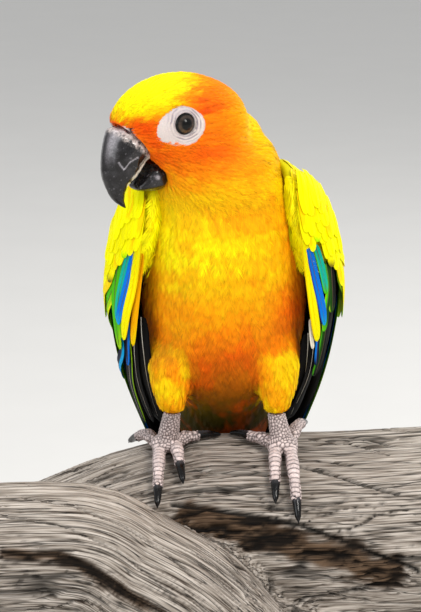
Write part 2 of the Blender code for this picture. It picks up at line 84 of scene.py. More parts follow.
class Tint(Enum):
    """The model's colours, as they look on screen."""

    LEMON = "fff600"
    GOLD = "ffd400"
    AMBER = "ffae00"
    ORANGE = "ff8800"
    EMBER = "fb6200"
    RED = "f04400"
    # Painted shade: a darkened red-orange for the belly's shaded underside.
    RUST = "a83c02"
    OLIVE = "7c6a14"
    # Dark olive: the tail coverts' own colour, also used as painted shade at the vent.
    DARK_OLIVE = "2e2804"
    LIME = "a4dc00"
    GREEN = "50c40a"
    DARK_GREEN = "1c4a0c"
    TEAL = "12b49c"
    CYAN = "0aa4e0"
    BLUE = "0a78e4"
    VIOLET = "2c30a8"
    NAVY = "10182e"
    BLACK = "0b0a0a"
    SHAFT_BROWN = "6e5a4c"
    SHAFT_PALE = "d8d2c4"
    CREAM = "f2ead8"
    CHARCOAL = "151314"
    SLATE = "5a585c"
    # Pale horn: the bill's own scratches and speckles, and its painted highlights.
    PALE_HORN = "b4aeb4"
    RING = "d6c8c2"
    # Painted shade for the eye ring: its creases, its upper part and the lid's edge.
    RING_FOLD = "7c707c"
    FOOT = "dac8c4"
    # Painted shade in the creases between the foot's scales.
    FOOT_GAP = "3c2e2c"
    # Painted shade on the foot's downward faces.
    SOLE = "9a8682"
    IRIS = "3c322c"
    IRIS_GOLD = "664c30"
    IRIS_DARK = "1c1816"

    @property
    def rgb(self) -> np.ndarray:
        """The colour as linear red, green and blue."""
        return hexed(self.value)

    def over(self, points: Points) -> Points:
        """The colour once for each point."""
        return np.broadcast_to(self.rgb, points.shape)


# Geometry helpers


def world(points: Points) -> Points:
    """Points of the bird's frame in millimetres, in the model's frame in metres."""
    return (np.asarray(points, float) + np.array([0.0, 0.0, PERCH_TOP])) * MM


def local(points: Points) -> Points:
    """Points of the model's frame in metres, in the bird's frame in millimetres."""
    return np.asarray(points, float) / MM - np.array([0.0, 0.0, PERCH_TOP])


def unit(vectors: Points) -> Points:
    """Vectors at length one."""
    return vectors / np.maximum(np.linalg.norm(vectors, axis=-1, keepdims=True), 1e-9)


def smooth(low: float, high: float, value: Points) -> Points:
    """A soft step from 0 at low to 1 at high."""
    t = np.clip((np.asarray(value, float) - low) / (high - low), 0.0, 1.0)
    return t * t * (3 - 2 * t)


def flattened(ways: Points, outward: Points) -> Points:
    """Directions brought into the surface whose outward directions are given, at length one."""
    return unit(ways - outward * np.sum(ways * outward, axis=1, keepdims=True))


def mixed(base: Points, other: np.ndarray, share: Points) -> Points:
    """Colours part of the way to another colour."""
    share = np.asarray(share)[..., None]
    return base * (1 - share) + other * share


def seen_at(points: Points) -> Points:
    """Where points of the bird's frame fall in the photograph's frame, in pixels.

    Args:
        points: Points in millimetres in the bird's frame.

    Returns:
        Their columns and rows.
    """
    x, y, z = np.moveaxis(np.asarray(points, float), -1, 0)
    near = 1 - y / 1000.0
    rise = (z * math.cos(ELEVATION) + y * math.sin(ELEVATION)) / PIXEL
    return np.stack([MIDDLE_COLUMN + x / PIXEL * near, FEET_ROW - rise * near], axis=-1)


def deselected() -> None:
    """Leaves edit mode and selects nothing."""
    if bpy.context.mode != "OBJECT":
        bpy.ops.object.mode_set(mode="OBJECT")
    bpy.ops.object.select_all(action="DESELECT")


def active(obj: bpy.types.Object) -> None:
    """Makes an object the only selected one.

    Args:
        obj: The object.
    """
    deselected()
    obj.select_set(True)
    bpy.context.view_layer.objects.active = obj


def linked(name: str, data: object) -> bpy.types.Object:
    """Adds an object with some data to the scene.

    Args:
        name: The object's name.
        data: Its mesh, lamp or camera.

    Returns:
        The new object.
    """
    obj = bpy.data.objects.new(name, data)
    bpy.context.scene.collection.objects.link(obj)
    return obj


def softened(obj: bpy.types.Object) -> None:
    """Shades an object smooth."""
    obj.data.polygons.foreach_set("use_smooth", [True] * len(obj.data.polygons))


def mesh_object(name: str, verts: Points, faces: Sequence) -> bpy.types.Object:
    """Adds a smooth mesh object.

    Args:
        name: The object's name.
        verts: Points in millimetres in the bird's frame.
        faces: Index tuples.

    Returns:
        The new object.
    """
    mesh = bpy.data.meshes.new(name)
    mesh.from_pydata(world(verts).tolist(), [], faces)
    obj = linked(name, mesh)
    softened(obj)
    mesh.update()
    return obj


def tube_faces(rows: int, count: int) -> list:
    """The faces between rings of points that lie one after another.

    Args:
        rows: The number of rings.
        count: The points of a ring.

    Returns:
        Index tuples.
    """
    return [
        (i * count + j, i * count + (j + 1) % count, (i + 1) * count + (j + 1) % count, (i + 1) * count + j)
        for i in range(rows - 1) for j in range(count)
    ]


def faced_outward(obj: bpy.types.Object) -> None:
    """Turns a closed mesh's faces outward.

    Args:
        obj: The object to change.
    """
    build = bmesh.new()
    build.from_mesh(obj.data)
    bmesh.ops.recalc_face_normals(build, faces=build.faces)
    build.to_mesh(obj.data)
    build.free()


def copied(name: str, *nodes: str) -> bpy.types.Object:
    """One merged copy of some CAD nodes' meshes.

    Args:
        name: The new object's name.
        nodes: The CAD nodes to copy.

    Returns:
        The new object.
    """
    mesh = bpy.data.meshes.new(name)
    build = bmesh.new()
    for node in nodes:
        build.from_mesh(frame["nodes"][node].data)
    bmesh.ops.remove_doubles(build, verts=build.verts, dist=1e-6)
    build.to_mesh(mesh)
    build.free()
    return linked(name, mesh)


def modified(obj: bpy.types.Object, kind: str, **settings: object) -> None:
    """Adds a modifier to an object and applies it.

    Args:
        obj: The object to change.
        kind: The modifier's type.
        settings: Its settings by name.
    """
    active(obj)
    modifier = obj.modifiers.new(kind.title(), kind)
    for key, value in settings.items():
        setattr(modifier, key, value)
    bpy.ops.object.modifier_apply(modifier=modifier.name)


def remeshed(obj: bpy.types.Object, voxel: float, rounds: int, grow: float = 0.0) -> None:
    """Turns an object's closed meshes into one even, smoothed surface.

    Args:
        obj: The object to change.
        voxel: The size of its faces in millimetres.
        rounds: How many rounds of smoothing follow.
        grow: How far it swells first, so that close neighbours join.
    """
    if grow:
        modified(obj, "DISPLACE", strength=grow * MM, mid_level=0.0)
    modified(obj, "REMESH", mode="VOXEL", voxel_size=voxel * MM, use_smooth_shade=True)
    if rounds:
        modified(obj, "SMOOTH", factor=0.5, iterations=rounds)


def per_vertex(obj: bpy.types.Object, name: str) -> Points:
    """A vector of each of an object's vertices, as its mesh holds it.

    Args:
        obj: The object.
        name: What to read: co or normal.

    Returns:
        One vector for each vertex.
    """
    flat = np.empty(len(obj.data.vertices) * 3)
    obj.data.vertices.foreach_get(name, flat)
    return flat.reshape(-1, 3)


def coordinates(obj: bpy.types.Object) -> Points:
    """An object's vertices in the bird's frame."""
    return local(per_vertex(obj, "co"))


def normals(obj: bpy.types.Object) -> Points:
    """An object's vertex normals."""
    return per_vertex(obj, "normal")


def placed(obj: bpy.types.Object, points: Points) -> None:
    """Moves an object's vertices to points of the bird's frame."""
    obj.data.vertices.foreach_set("co", world(points).ravel())
    obj.data.update()


def painted(obj: bpy.types.Object, colours: Points) -> None:
    """Writes linear colours to an object's vertices.

    Args:
        obj: The object to change.
        colours: A linear colour for each vertex.
    """
    layer = obj.data.color_attributes.new("tint", "FLOAT_COLOR", "POINT")
    whole = np.ones((len(colours), 4))
    whole[:, :3] = np.clip(colours, 0.0, 1.0)
    layer.data.foreach_set("color", whole.ravel())


def measured(obj: bpy.types.Object, values: Points, name: str) -> None:
    """Writes a number or a vector to each of an object's vertices.

    Args:
        obj: The object to change.
        values: A number or a vector for each vertex.
        name: The attribute's name.
    """
    values = np.asarray(values, float)
    if values.ndim == 1:
        obj.data.attributes.new(name, "FLOAT", "POINT").data.foreach_set("value", values)
    else:
        layer = obj.data.attributes.new(name, "FLOAT_VECTOR", "POINT")
        layer.data.foreach_set("vector", values.ravel())


def mapped(obj: bpy.types.Object, name: str, spots: Points) -> None:
    """Writes a UV map from one spot per vertex.

    Args:
        obj: The object to change.
        name: The map's name.
        spots: A place on the map for each vertex.
    """
    layer = obj.data.uv_layers.new(name=name)
    loops = np.empty(len(obj.data.loops), dtype=np.int32)
    obj.data.loops.foreach_get("vertex_index", loops)
    layer.data.foreach_set("uv", np.asarray(spots, float)[loops].ravel())


def dressed(obj: bpy.types.Object, finish: "Finish", slot: str, *nodes: str) -> bpy.types.Object:
    """Gives a finished piece its material and its body, and hides the CAD nodes that it stands for.

    Args:
        obj: The piece.
        finish: Its finish.
        slot: Not used.
        nodes: The CAD nodes that it replaces, if any.

    Returns:
        The piece.
    """
    obj.data.materials.append(finish.material())
    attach(obj, "root")
    if nodes:
        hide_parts(*nodes)
    return obj


def curve_rows(rows: Points, at: Points) -> Points:
    """Rows of numbers read at fractional places on a Catmull-Rom curve.

    Args:
        rows: The table, one row for each knot.
        at: Where to read, in rows.

    Returns:
        One row of numbers for each place.
    """
    rows = np.asarray(rows, float)
    at = np.clip(np.asarray(at, float), 0.0, len(rows) - 1.0)
    i = np.minimum(at.astype(int), len(rows) - 2)
    t = (at - i)[..., None]
    a, b = rows[np.maximum(i - 1, 0)], rows[i]
    c, d = rows[i + 1], rows[np.minimum(i + 2, len(rows) - 1)]
    return 0.5 * (2 * b + (c - a) * t + (2 * a - 5 * b + 4 * c - d) * t**2 + (3 * b - a - 3 * c + d) * t**3)


class Grain:
    """Smooth repeatable noise between 0 and 1."""

    def __init__(self, seed: int) -> None:
        """Draws the noise's lattice from a seed."""
        self.values = np.random.default_rng(seed).random((32, 32, 32))

    def at(self, points: Points) -> Points:
        """The noise at points, with cells of size 1.

        Args:
            points: Points, in cells.

        Returns:
            A value for each point.
        """
        points = np.asarray(points, float)
        cell = np.floor(points).astype(int)
        t = points - cell
        t = t * t * (3 - 2 * t)
        total = np.zeros(points.shape[:-1])
        for corner in range(8):
            step = np.array([corner & 1, corner >> 1 & 1, corner >> 2 & 1])
            weight = np.prod(np.where(step, t, 1 - t), axis=-1)
            i, j, k = np.moveaxis((cell + step) % 32, -1, 0)
            total += weight * self.values[i, j, k]
        return total

    def rough(self, points: Points, octaves: int = 3) -> Points:
        """The sum of finer and finer noise, between 0 and 1."""
        parts = [self.at(np.asarray(points) * 2.0**k + 7.3 * k) / 2.0**k for k in range(octaves)]
        return sum(parts) / sum(0.5**k for k in range(octaves))


# Finishes


def added(tree: bpy.types.NodeTree, kind: str, inputs: dict, **settings: object) -> bpy.types.Node:
    """Adds a shader node to a material.

    Args:
        tree: The material's nodes.
        kind: The node's type after "ShaderNode".
        inputs: The socket to link, or the value to set, for each input.
        settings: The node's own settings by name.

    Returns:
        The node.
    """
    node = tree.nodes.new(f"ShaderNode{kind}")
    for key, value in settings.items():
        setattr(node, key, value)
    for key, value in inputs.items():
        if isinstance(value, bpy.types.NodeSocket):
            tree.links.new(value, node.inputs[key])
        else:
            node.inputs[key].default_value = value
    return node


@dataclass(frozen=True)
class Finish:
    """A procedural finish that reads the piece's own tint and adds fine variation and relief.

    Args:
        name: The material's name.
        rough: The roughness.
        vary: How far the tint's brightness varies.
        cells: The size of the variation in millimetres.
        relief: The bump's depth in millimetres.
        relief_cells: The size of the bump in millimetres.
        stretch: How much the variation is drawn out along x, y and z.
        coat: The weight of a clear coat.
        specular: The specular level.
        metal: How metallic it is.
        source: The vector attribute that patterns read, or none for object coordinates.
        subsurface: The weight of light scattered below the surface.
    """

    name: str
    rough: float = 0.6
    vary: float = 0.2
    cells: float = 1.0
    relief: float = 0.1
    relief_cells: float = 0.5
    stretch: tuple = (1.0, 1.0, 1.0)
    coat: float = 0.0
    specular: float = 0.5
    metal: float = 0.0
    source: str = ""
    subsurface: float = 0.0

    def material(self) -> bpy.types.Material:
        """Builds the material, or returns it if it is built.

        Returns:
            The material.
        """
        title = f"{self.name}_finish"
        if title in bpy.data.materials:
            return bpy.data.materials[title]
        material = bpy.data.materials.new(title)
        material.use_nodes = True
        tree = material.node_tree
        shader = tree.nodes["Principled BSDF"]
        for socket, value in self.numbers().items():
            shader.inputs[socket].default_value = value
        place = self.coordinates(tree)
        colour, height = self.pattern(tree, place)
        tree.links.new(colour, shader.inputs["Base Color"])
        bump = added(tree, "Bump", {"Distance": self.relief * MM, "Strength": 1.0, "Height": height})
        tree.links.new(bump.outputs[0], shader.inputs["Normal"])
        roughness = self.spread(tree, height, self.rough - 0.06, self.rough + 0.08)
        tree.links.new(roughness, shader.inputs["Roughness"])
        return material

    def numbers(self) -> dict:
        """The shader's plain numbers by socket.

        Returns:
            The numbers by the name of the input.
        """
        return {
            "Coat Weight": self.coat,
            "Coat Roughness": 0.08,
            "Specular IOR Level": self.specular,
            "Metallic": self.metal,
            "Subsurface Weight": self.subsurface,
            "Subsurface Radius": (0.004, 0.0015, 0.0008),
            "Subsurface Scale": 0.3,
        }

    def coordinates(self, tree: bpy.types.NodeTree) -> bpy.types.NodeSocket:
        """The patterns' place in millimetres, drawn out as the finish says.

        Args:
            tree: The material's node tree.

        Returns:
            The output that holds the place.
        """
        if self.source:
            place, size = added(tree, "Attribute", {}, attribute_name=self.source).outputs["Vector"], 1.0
        else:
            place, size = added(tree, "TexCoord", {}).outputs["Object"], 1.0 / MM
        scale = [size / s for s in self.stretch]
        return added(tree, "Mapping", {"Scale": scale, "Vector": place}).outputs[0]

    def noise(self, tree: bpy.types.NodeTree, place: bpy.types.NodeSocket, cells: float,
              detail: float = 3.0) -> bpy.types.NodeSocket:
        """Noise with cells of a size in millimetres."""
        return added(tree, "TexNoise", {"Scale": 1.0 / cells, "Detail": detail, "Vector": place}).outputs[0]

    def spread(self, tree: bpy.types.NodeTree, value: bpy.types.NodeSocket, low: float, high: float,
               start: float = 0.3, end: float = 0.7) -> bpy.types.NodeSocket:
        """A value between start and end, brought to low and high."""
        return added(tree, "MapRange", {"Value": value, 1: start, 2: end, 3: low, 4: high}).outputs[0]

    def ramped(self, tree: bpy.types.NodeTree, value: bpy.types.NodeSocket,
               stops: Sequence) -> bpy.types.NodeSocket:
        """A value turned into colours.

        Args:
            tree: The material's nodes.
            value: The socket to read.
            stops: The ramp's places and their linear colours.

        Returns:
            The colours' socket.
        """
        ramp = added(tree, "ValToRGB", {0: value})
        elements = ramp.color_ramp.elements
        elements.remove(elements[-1])
        elements[0].position = stops[0][0]
        elements[0].color = (*stops[0][1], 1.0)
        for spot, colour in stops[1:]:
            elements.new(spot).color = (*colour, 1.0)
        return ramp.outputs[0]

    def tint(self, tree: bpy.types.NodeTree) -> bpy.types.NodeSocket:
        """The piece's own colour."""
        return added(tree, "Attribute", {}, attribute_name="tint").outputs["Color"]

    def toned(self, tree: bpy.types.NodeTree, colour: bpy.types.NodeSocket,
              value: bpy.types.NodeSocket) -> bpy.types.NodeSocket:
        """A colour made lighter or darker by a value around 1."""
        return added(tree, "VectorMath", {0: colour, "Scale": value}, operation="SCALE").outputs[0]

    def pattern(self, tree: bpy.types.NodeTree, place: bpy.types.NodeSocket) -> tuple:
        """The colour and the height, from the tint and noise."""
        vary = self.spread(tree, self.noise(tree, place, self.cells), 1 - self.vary, 1 + self.vary)
        return self.toned(tree, self.tint(tree), vary), self.noise(tree, place, self.relief_cells, 4.0)


@dataclass(frozen=True)
class Vaned(Finish):
    """A feather's finish with fine barbs that run off its shaft, read from the piece's own map."""

    slant: float = 2.2
    ridges: float = 2.2

    def pattern(self, tree: bpy.types.NodeTree, place: bpy.types.NodeSocket) -> tuple:
        """The tint with barbs as fine slanted ridges.

        Args:
            tree: The material's node tree.
            place: The place to make the pattern at.

        Returns:
            The outputs for the colour and the height.
        """
        uv = added(tree, "UVMap", {}, uv_map="barbs")
        parts = added(tree, "SeparateXYZ", {0: uv.outputs[0]})
        side = added(tree, "Math", {0: parts.outputs[0]}, operation="ABSOLUTE")
        row = added(tree, "Math", {0: side.outputs[0], 1: -self.slant, 2: parts.outputs[1]},
                    operation="MULTIPLY_ADD")
        line = added(tree, "CombineXYZ", {0: row.outputs[0]})
        ridge = added(tree, "TexNoise", {"Scale": self.ridges, "Detail": 3.0, "Vector": line.outputs[0]})
        vary = self.spread(tree, ridge.outputs[0], 1 - self.vary, 1 + self.vary)
        return self.toned(tree, self.tint(tree), vary), ridge.outputs[0]


@dataclass(frozen=True)
class Wooden(Finish):
    """Weathered grey wood with long dark cracks, or fine planed wood."""

    dark: str = "4a4038"
    mid: str = "867c72"
    light: str = "a49a90"
    pale: str = "c6bcb2"
    torn: str = "ac937c"
    cracks: float = 0.03
    crack_shade: float = 0.18

    def pattern(self, tree: bpy.types.NodeTree, place: bpy.types.NodeSocket) -> tuple:
        """Streaks in four tones, split by dark lines.

        Args:
            tree: The material's node tree.
            place: The place to make the pattern at.

        Returns:
            The outputs for the colour and the height.
        """
        streaks = self.noise(tree, place, self.cells, 6.0)
        stops = ((0.32, self.dark), (0.42, self.mid), (0.52, self.light), (0.64, self.pale))
        tones = self.ramped(tree, streaks, [(spot, hexed(code)) for spot, code in stops])
        # Painted shade: thin dark crack lines where the noise crosses its middle, darkened further by the
        # piece's open share.
        lines = self.noise(tree, place, self.relief_cells, 2.0)
        centred = added(tree, "Math", {0: lines, 1: 0.5}, operation="SUBTRACT")
        folded = added(tree, "Math", {0: centred.outputs[0]}, operation="ABSOLUTE")
        open_wood = self.spread(tree, folded.outputs[0], self.crack_shade, 1.0, 0.0, self.cracks)
        cleft = added(tree, "Attribute", {}, attribute_name="open").outputs["Fac"]
        shade = added(tree, "Math", {0: open_wood, 1: cleft}, operation="MULTIPLY").outputs[0]
        height = added(tree, "Math", {0: streaks, 1: shade}, operation="MULTIPLY").outputs[0]
        torn = added(tree, "Attribute", {}, attribute_name="torn").outputs["Fac"]
        brown = added(tree, "Mix", {0: torn, 6: tones, 7: (*hexed(self.torn), 1.0)},
                      data_type="RGBA", blend_type="MULTIPLY")
        return self.toned(tree, brown.outputs[2], shade), height


DOWN = Finish("head_down", rough=0.66, vary=0.1, cells=0.7, relief=0.05, relief_cells=0.3, specular=0.12)
COAT = Finish("body_down", rough=0.66, vary=0.08, cells=1.6, relief=0.06, relief_cells=0.4, specular=0.12)
VANE_DOWN = Finish("covert_down", rough=0.55, vary=0.12, cells=1.6, relief=0.05, relief_cells=0.4,
                   specular=0.12)
VANE = Vaned("vane", rough=0.58, vary=0.2, relief=0.1, specular=0.05)
TAIL_VANE = Vaned("tail_vane", rough=0.5, vary=0.2, relief=0.1, specular=0.3)
HORN = Finish("bill_horn", rough=0.24, vary=0.3, cells=0.5, relief=0.03, relief_cells=0.4, coat=0.35,
              specular=0.2)
CLAW_HORN = Finish("claw_horn", rough=0.26, vary=0.3, cells=1.2, relief=0.05, relief_cells=0.5, coat=0.3,
                   specular=0.15, stretch=(1.0, 2.5, 1.0))
EYE_GLOSS = Finish("eye_gloss", rough=0.3, vary=0.14, cells=0.25, relief=0.002, relief_cells=0.4, coat=0.3,
                   specular=0.06)
RING_SKIN = Finish("ring_skin", rough=0.5, vary=0.08, cells=0.35, relief=0.05, relief_cells=0.25,
                   subsurface=0.12)
FOOT_SKIN = Finish("foot_skin", rough=0.55, vary=0.2, cells=0.5, relief=0.06, relief_cells=0.22)
BRANCH = Wooden("weathered_wood", rough=0.8, cells=0.55, relief=0.6, relief_cells=2.0,
                stretch=(22.0, 1.0, 1.0), source="grain", specular=0.12, cracks=0.03)
BASE_WOOD = Wooden("base_wood", rough=0.42, cells=2.0, relief=0.12, relief_cells=3.0, coat=0.2,
                   stretch=(18.0, 1.0, 1.0), dark="1c120c", mid="33221a", light="432c1f", pale="573d2b",
                   cracks=0.004)


@dataclass(frozen=True)
class Steel(Finish):
    """Brushed steel."""

    dull: str = "8c8c8a"
    bright: str = "c8c8c6"

    def pattern(self, tree: bpy.types.NodeTree, place: bpy.types.NodeSocket) -> tuple:
        """A grey with fine turned lines."""
        lines = self.noise(tree, place, self.cells, 4.0)
        return self.ramped(tree, lines, [(0.3, hexed(self.dull)), (0.7, hexed(self.bright))]), lines


ROD_STEEL = Steel("rod_steel", rough=0.3, cells=0.4, relief=0.02, metal=1.0, stretch=(9.0, 9.0, 0.5))


@dataclass(frozen=True)
class Matt(Finish):
    """A plain pale matt surface for the floor."""

    shade: str = "d9d7d3"

    def pattern(self, tree: bpy.types.NodeTree, place: bpy.types.NodeSocket) -> tuple:
        """A faintly uneven pale grey."""
        specks = self.noise(tree, place, self.cells, 2.0)
        return self.ramped(tree, specks, [(0.3, hexed(self.shade) * 0.985), (0.7, hexed(self.shade))]), specks


FLOOR = Matt("floor", rough=0.9, cells=40.0, relief=0.01, specular=0.1)

# Markings

HEAD_AT = np.array([-16.9, -19.2, 96.8])
HEAD_YAW, HEAD_PITCH = math.radians(60), math.radians(-8)
LEVEL = np.array([-math.sin(HEAD_YAW), -math.cos(HEAD_YAW), 0.0])
AHEAD = LEVEL * math.cos(HEAD_PITCH) + np.array([0.0, 0.0, math.sin(HEAD_PITCH)])
LEFTWARD = np.array([-LEVEL[1], LEVEL[0], 0.0])
HEAD_AXES = np.stack([AHEAD, LEFTWARD, np.cross(AHEAD, LEFTWARD)])
BODY_WAY = np.array([0.0, 0.42, -0.91])
BILL_ROOT = np.array([15.0, 0.0, -4.0])


def to_head(points: Points) -> Points:
    """Points of the bird's frame along the head's axes: forward, left and up from between the eyes."""
    return (np.asarray(points, float) - HEAD_AT) @ HEAD_AXES.T


def from_head(points: Points) -> Points:
    """Points along the head's axes, in the bird's frame."""
    return np.asarray(points, float) @ HEAD_AXES + HEAD_AT


def before_cere(s: Points, h: Points) -> Points:
    """How far in front of the head's feathers places lie, across the slanting line where the cere begins."""
    return ((s - 12.6) * 7.2 - h * 7.4) / 10.3


def up_the_neck(points: Points) -> Points:
    """How high points lie, measured across the neck's lean."""
    return points[:, 2] - 0.25 * points[:, 1]


def log_drop(x: Points) -> Points:
    """How far the branch's middle line lies below its highest place."""
    fall = 10.8 * (x / 41) ** 2 * (1 + 0.25 * np.maximum(x / 64, -1))
    return np.where(x > 0, -1.8 * (x / 54) ** 2, fall)


@dataclass(frozen=True)
class Blotch:
    """A soft patch of one colour: its middle and radii, how strongly it covers, how firm its edge is."""

    tint: Tint
    middle: tuple
    radii: tuple
    share: float = 0.8
    edge: float = 1.15

    def over(self, colours: Points, places: Points) -> Points:
        """Lays the patch over colours at places given along the patch's own axes."""
        reach = (places - np.array(self.middle)) / np.array(self.radii)
        return mixed(colours, self.tint.rgb, self.share * np.exp(-np.sum(reach**2, axis=-1) ** self.edge))


@dataclass(frozen=True)
class Markings:
    """The plumage's colours as a function of place, the same for skin and feathers."""

    head: tuple = (
        Blotch(Tint.AMBER, (-16, -6), (9, 12), 0.6),
        Blotch(Tint.GOLD, (-25, -8), (7, 14), 0.9),
        Blotch(Tint.EMBER, (-6, -5), (10, 7), 0.6),
        Blotch(Tint.EMBER, (-13, -12), (9, 5), 0.4),
        Blotch(Tint.AMBER, (-8, -19.5), (12, 4.5), 0.8),
        Blotch(Tint.GOLD, (2, -23), (10, 4), 0.8),
        Blotch(Tint.ORANGE, (-15, 9), (8, 7), 0.8),
        Blotch(Tint.LEMON, (5, 14), (17, 10.6), 1.0, 2.4),
        Blotch(Tint.LEMON, (12, 7), (6.5, 4.2), 0.9, 1.6),
        Blotch(Tint.EMBER, (-7, 5.8), (7.5, 2.2), 0.75),
        Blotch(Tint.EMBER, (9, -0.4), (4.4, 3.4), 0.85),
        Blotch(Tint.RED, (9.5, 0.8), (3.4, 1.8), 0.55),
        Blotch(Tint.RED, (14.5, 1.2), (3.4, 2.6), 0.8),
        Blotch(Tint.RED, (-6.5, 2.6), (2.6, 2.0), 0.9),
        Blotch(Tint.RED, (-10, 2.2), (4, 1.6), 0.7),
        Blotch(Tint.RED, (-5.5, -9.2), (6.5, 1.8), 0.45),
        Blotch(Tint.RED, (4.8, -8.4), (3.4, 2.2), 0.5),
        Blotch(Tint.RED, (8.2, -4.0), (2.0, 2.2), 0.6),
    )
    body: tuple = (
        Blotch(Tint.LEMON, (-9, 59), (17, 12), 0.6, 1.5),
        Blotch(Tint.AMBER, (5, 70), (18, 6), 0.85),
        Blotch(Tint.AMBER, (-12, 79), (9, 5), 0.6),
        Blotch(Tint.AMBER, (4, 46), (26, 7), 0.8),
        Blotch(Tint.ORANGE, (0, 37), (30, 7), 0.65),
        Blotch(Tint.ORANGE, (22, 56), (6.5, 18), 0.9),
        Blotch(Tint.ORANGE, (-24, 44), (4.5, 16), 0.8),
        Blotch(Tint.EMBER, (20, 41), (8, 8), 0.9),
        # Painted shade: the dark red blotches darken the right flank and the lower belly, where the underside
        # lies in shade.
        Blotch(Tint.RUST, (17, 36), (6, 4), 0.45),
        Blotch(Tint.EMBER, (-19, 36), (6, 6), 0.6),
        Blotch(Tint.EMBER, (0, 28), (24, 7.5), 0.85),
        Blotch(Tint.AMBER, (-12, 37), (5, 3.5), 0.7),
        Blotch(Tint.RUST, (0, 29), (22, 5), 0.4),
        Blotch(Tint.RUST, (0, 18), (24, 8), 0.85, 1.6),
        # The vent's own olive, painted near black as the shade under the belly and between the legs.
        Blotch(Tint.DARK_OLIVE, (0, -2), (30, 18), 0.97, 3.0),
    )
    grain: Grain = field(default_factory=lambda: Grain(11))

    def at(self, points: Points) -> Points:
        """Linear colours at points of the bird's frame.

        Args:
            points: Points in millimetres in the bird's frame.

        Returns:
            A colour for each point.
        """
        points = np.asarray(points, float)
        x, y, z = points.T
        mottle = self.grain.rough(points * [0.22, 0.22, 0.16], 3)
        colours = mixed(Tint.GOLD.over(points), Tint.ORANGE.rgb, smooth(0.45, 0.75, mottle) * 0.6)
        front = smooth(14.0, 2.0, y - 0.42 * (50 - z) - 12 * smooth(22, 10, z))
        flat = np.stack([x, z], axis=-1)
        body = colours
        for blotch in self.body:
            body = blotch.over(body, flat)
        body = mixed(body, Tint.EMBER.rgb, smooth(0.5, 0.8, mottle) * smooth(44, 30, z) * 0.5)
        ripple = smooth(0.5, 0.64, self.grain.rough(points * [0.08, 0.08, 0.36] + 70, 3))
        body = mixed(body, Tint.ORANGE.rgb, ripple * smooth(20, 40, z) * smooth(76, 66, z) * 0.4)
        colours = mixed(colours, Tint.ORANGE.rgb, smooth(20, -10, z) * 0.4)
        colours = colours * (1 - front[:, None]) + body * front[:, None]
        thigh = smooth(34, 26, z) * smooth(8.5, 11.5, np.abs(x)) * smooth(9, 3, y) * smooth(-22, -14, y)
        leg = mixed(Tint.GOLD.over(points), Tint.ORANGE.rgb, smooth(0.4, 0.7, mottle) * 0.8)
        leg = mixed(leg, Tint.OLIVE.rgb, smooth(-10, -16, x) * smooth(22, 30, z) * 0.5)
        colours = colours * (1 - thigh[:, None]) + leg * thigh[:, None]
        place = to_head(points)
        streak = self.grain.rough(place * [0.14, 0.6, 0.6] + 40, 3) - 0.5
        side = place[:, [0, 2]] + streak[:, None] * [2.0, 4.5]
        head = mixed(Tint.ORANGE.over(points), Tint.EMBER.rgb, smooth(0.45, 0.7, mottle) * 0.5)
        for blotch in self.head:
            head = blotch.over(head, side)
        # The olive streaks behind the head are partly the neck's own olive and partly painted shade along the
        # nape's edge.
        band = smooth(-18, -21, place[:, 0]) * smooth(4, 0, place[:, 2])
        head = mixed(head, Tint.OLIVE.rgb, band * smooth(0.02, 0.12, streak) * 0.4)
        share = smooth(79, 90, up_the_neck(points) + 10 * streak)
        return colours * (1 - share[:, None]) + head * share[:, None]


# Skin and plumage


class Ground:
    """A surface that feathers lie on."""

    def __init__(self, obj: bpy.types.Object) -> None:
        """Reads an object's faces for nearest-point searches.

        Args:
            obj: The object.
        """
        self.faces = [tuple(face.vertices) for face in obj.data.polygons]
        self.points = coordinates(obj)
        self.tree = BVHTree.FromPolygons(self.points.tolist(), self.faces)

    def nearest(self, points: Points) -> tuple:
        """The nearest spots on the surface, and the outward directions there.

        Args:
            points: Points in millimetres in the bird's frame.

        Returns:
            The spots and the directions.
        """
        spots, outward = np.empty((len(points), 3)), np.empty((len(points), 3))
        for i, point in enumerate(points):
            spot, normal, _, _ = self.tree.find_nearest(Vector(point))
            spots[i], outward[i] = spot, normal
        return spots, outward

    def scattered(self, gap: Callable[[Points], Points], keep: Callable[[Points], Points],
                  seed: int, tries: float = 9.0) -> Points:
        """Spots on the surface that keep their distance from each other.

        Args:
            gap: The distance in millimetres at points.
            keep: Whether points may carry a feather.
            seed: The random seed.
            tries: How many spots are tried for each one that fits.

        Returns:
            The spots.
        """
        random = np.random.default_rng(seed)
        corners = np.array([(f[0], f[i], f[i + 1]) for f in self.faces for i in range(1, len(f) - 1)])
        a, b, c = (self.points[corners[:, k]] for k in range(3))
        middles = (a + b + c) / 3
        areas = np.linalg.norm(np.cross(b - a, c - a), axis=1) / 2
        weight = areas / gap(middles) ** 2 * keep(middles)
        count = int(weight.sum() * tries)
        pick = random.choice(len(areas), size=count, p=weight / weight.sum())
        p, q = random.random((2, count, 1))
        flip = p + q > 1
        p, q = np.where(flip, 1 - p, p), np.where(flip, 1 - q, q)
        spots = a[pick] + (b - a)[pick] * p + (c - a)[pick] * q
        spots = spots[keep(spots) > 0]
        reach = gap(spots)
        size = float(reach.max())
        cells: dict = {}
        kept = []
        for i, (spot, need) in enumerate(zip(spots.tolist(), reach.tolist())):
            home = (int(spot[0] // size), int(spot[1] // size), int(spot[2] // size))
            near = [
                other
                for dx in (-1, 0, 1) for dy in (-1, 0, 1) for dz in (-1, 0, 1)
                for other in cells.get((home[0] + dx, home[1] + dy, home[2] + dz), ())
            ]
            if all((spot[0] - o[0]) ** 2 + (spot[1] - o[1]) ** 2 + (spot[2] - o[2]) ** 2 > need * need
                   for o in near):
                cells.setdefault(home, []).append(spot)
                kept.append(i)
        return spots[kept]


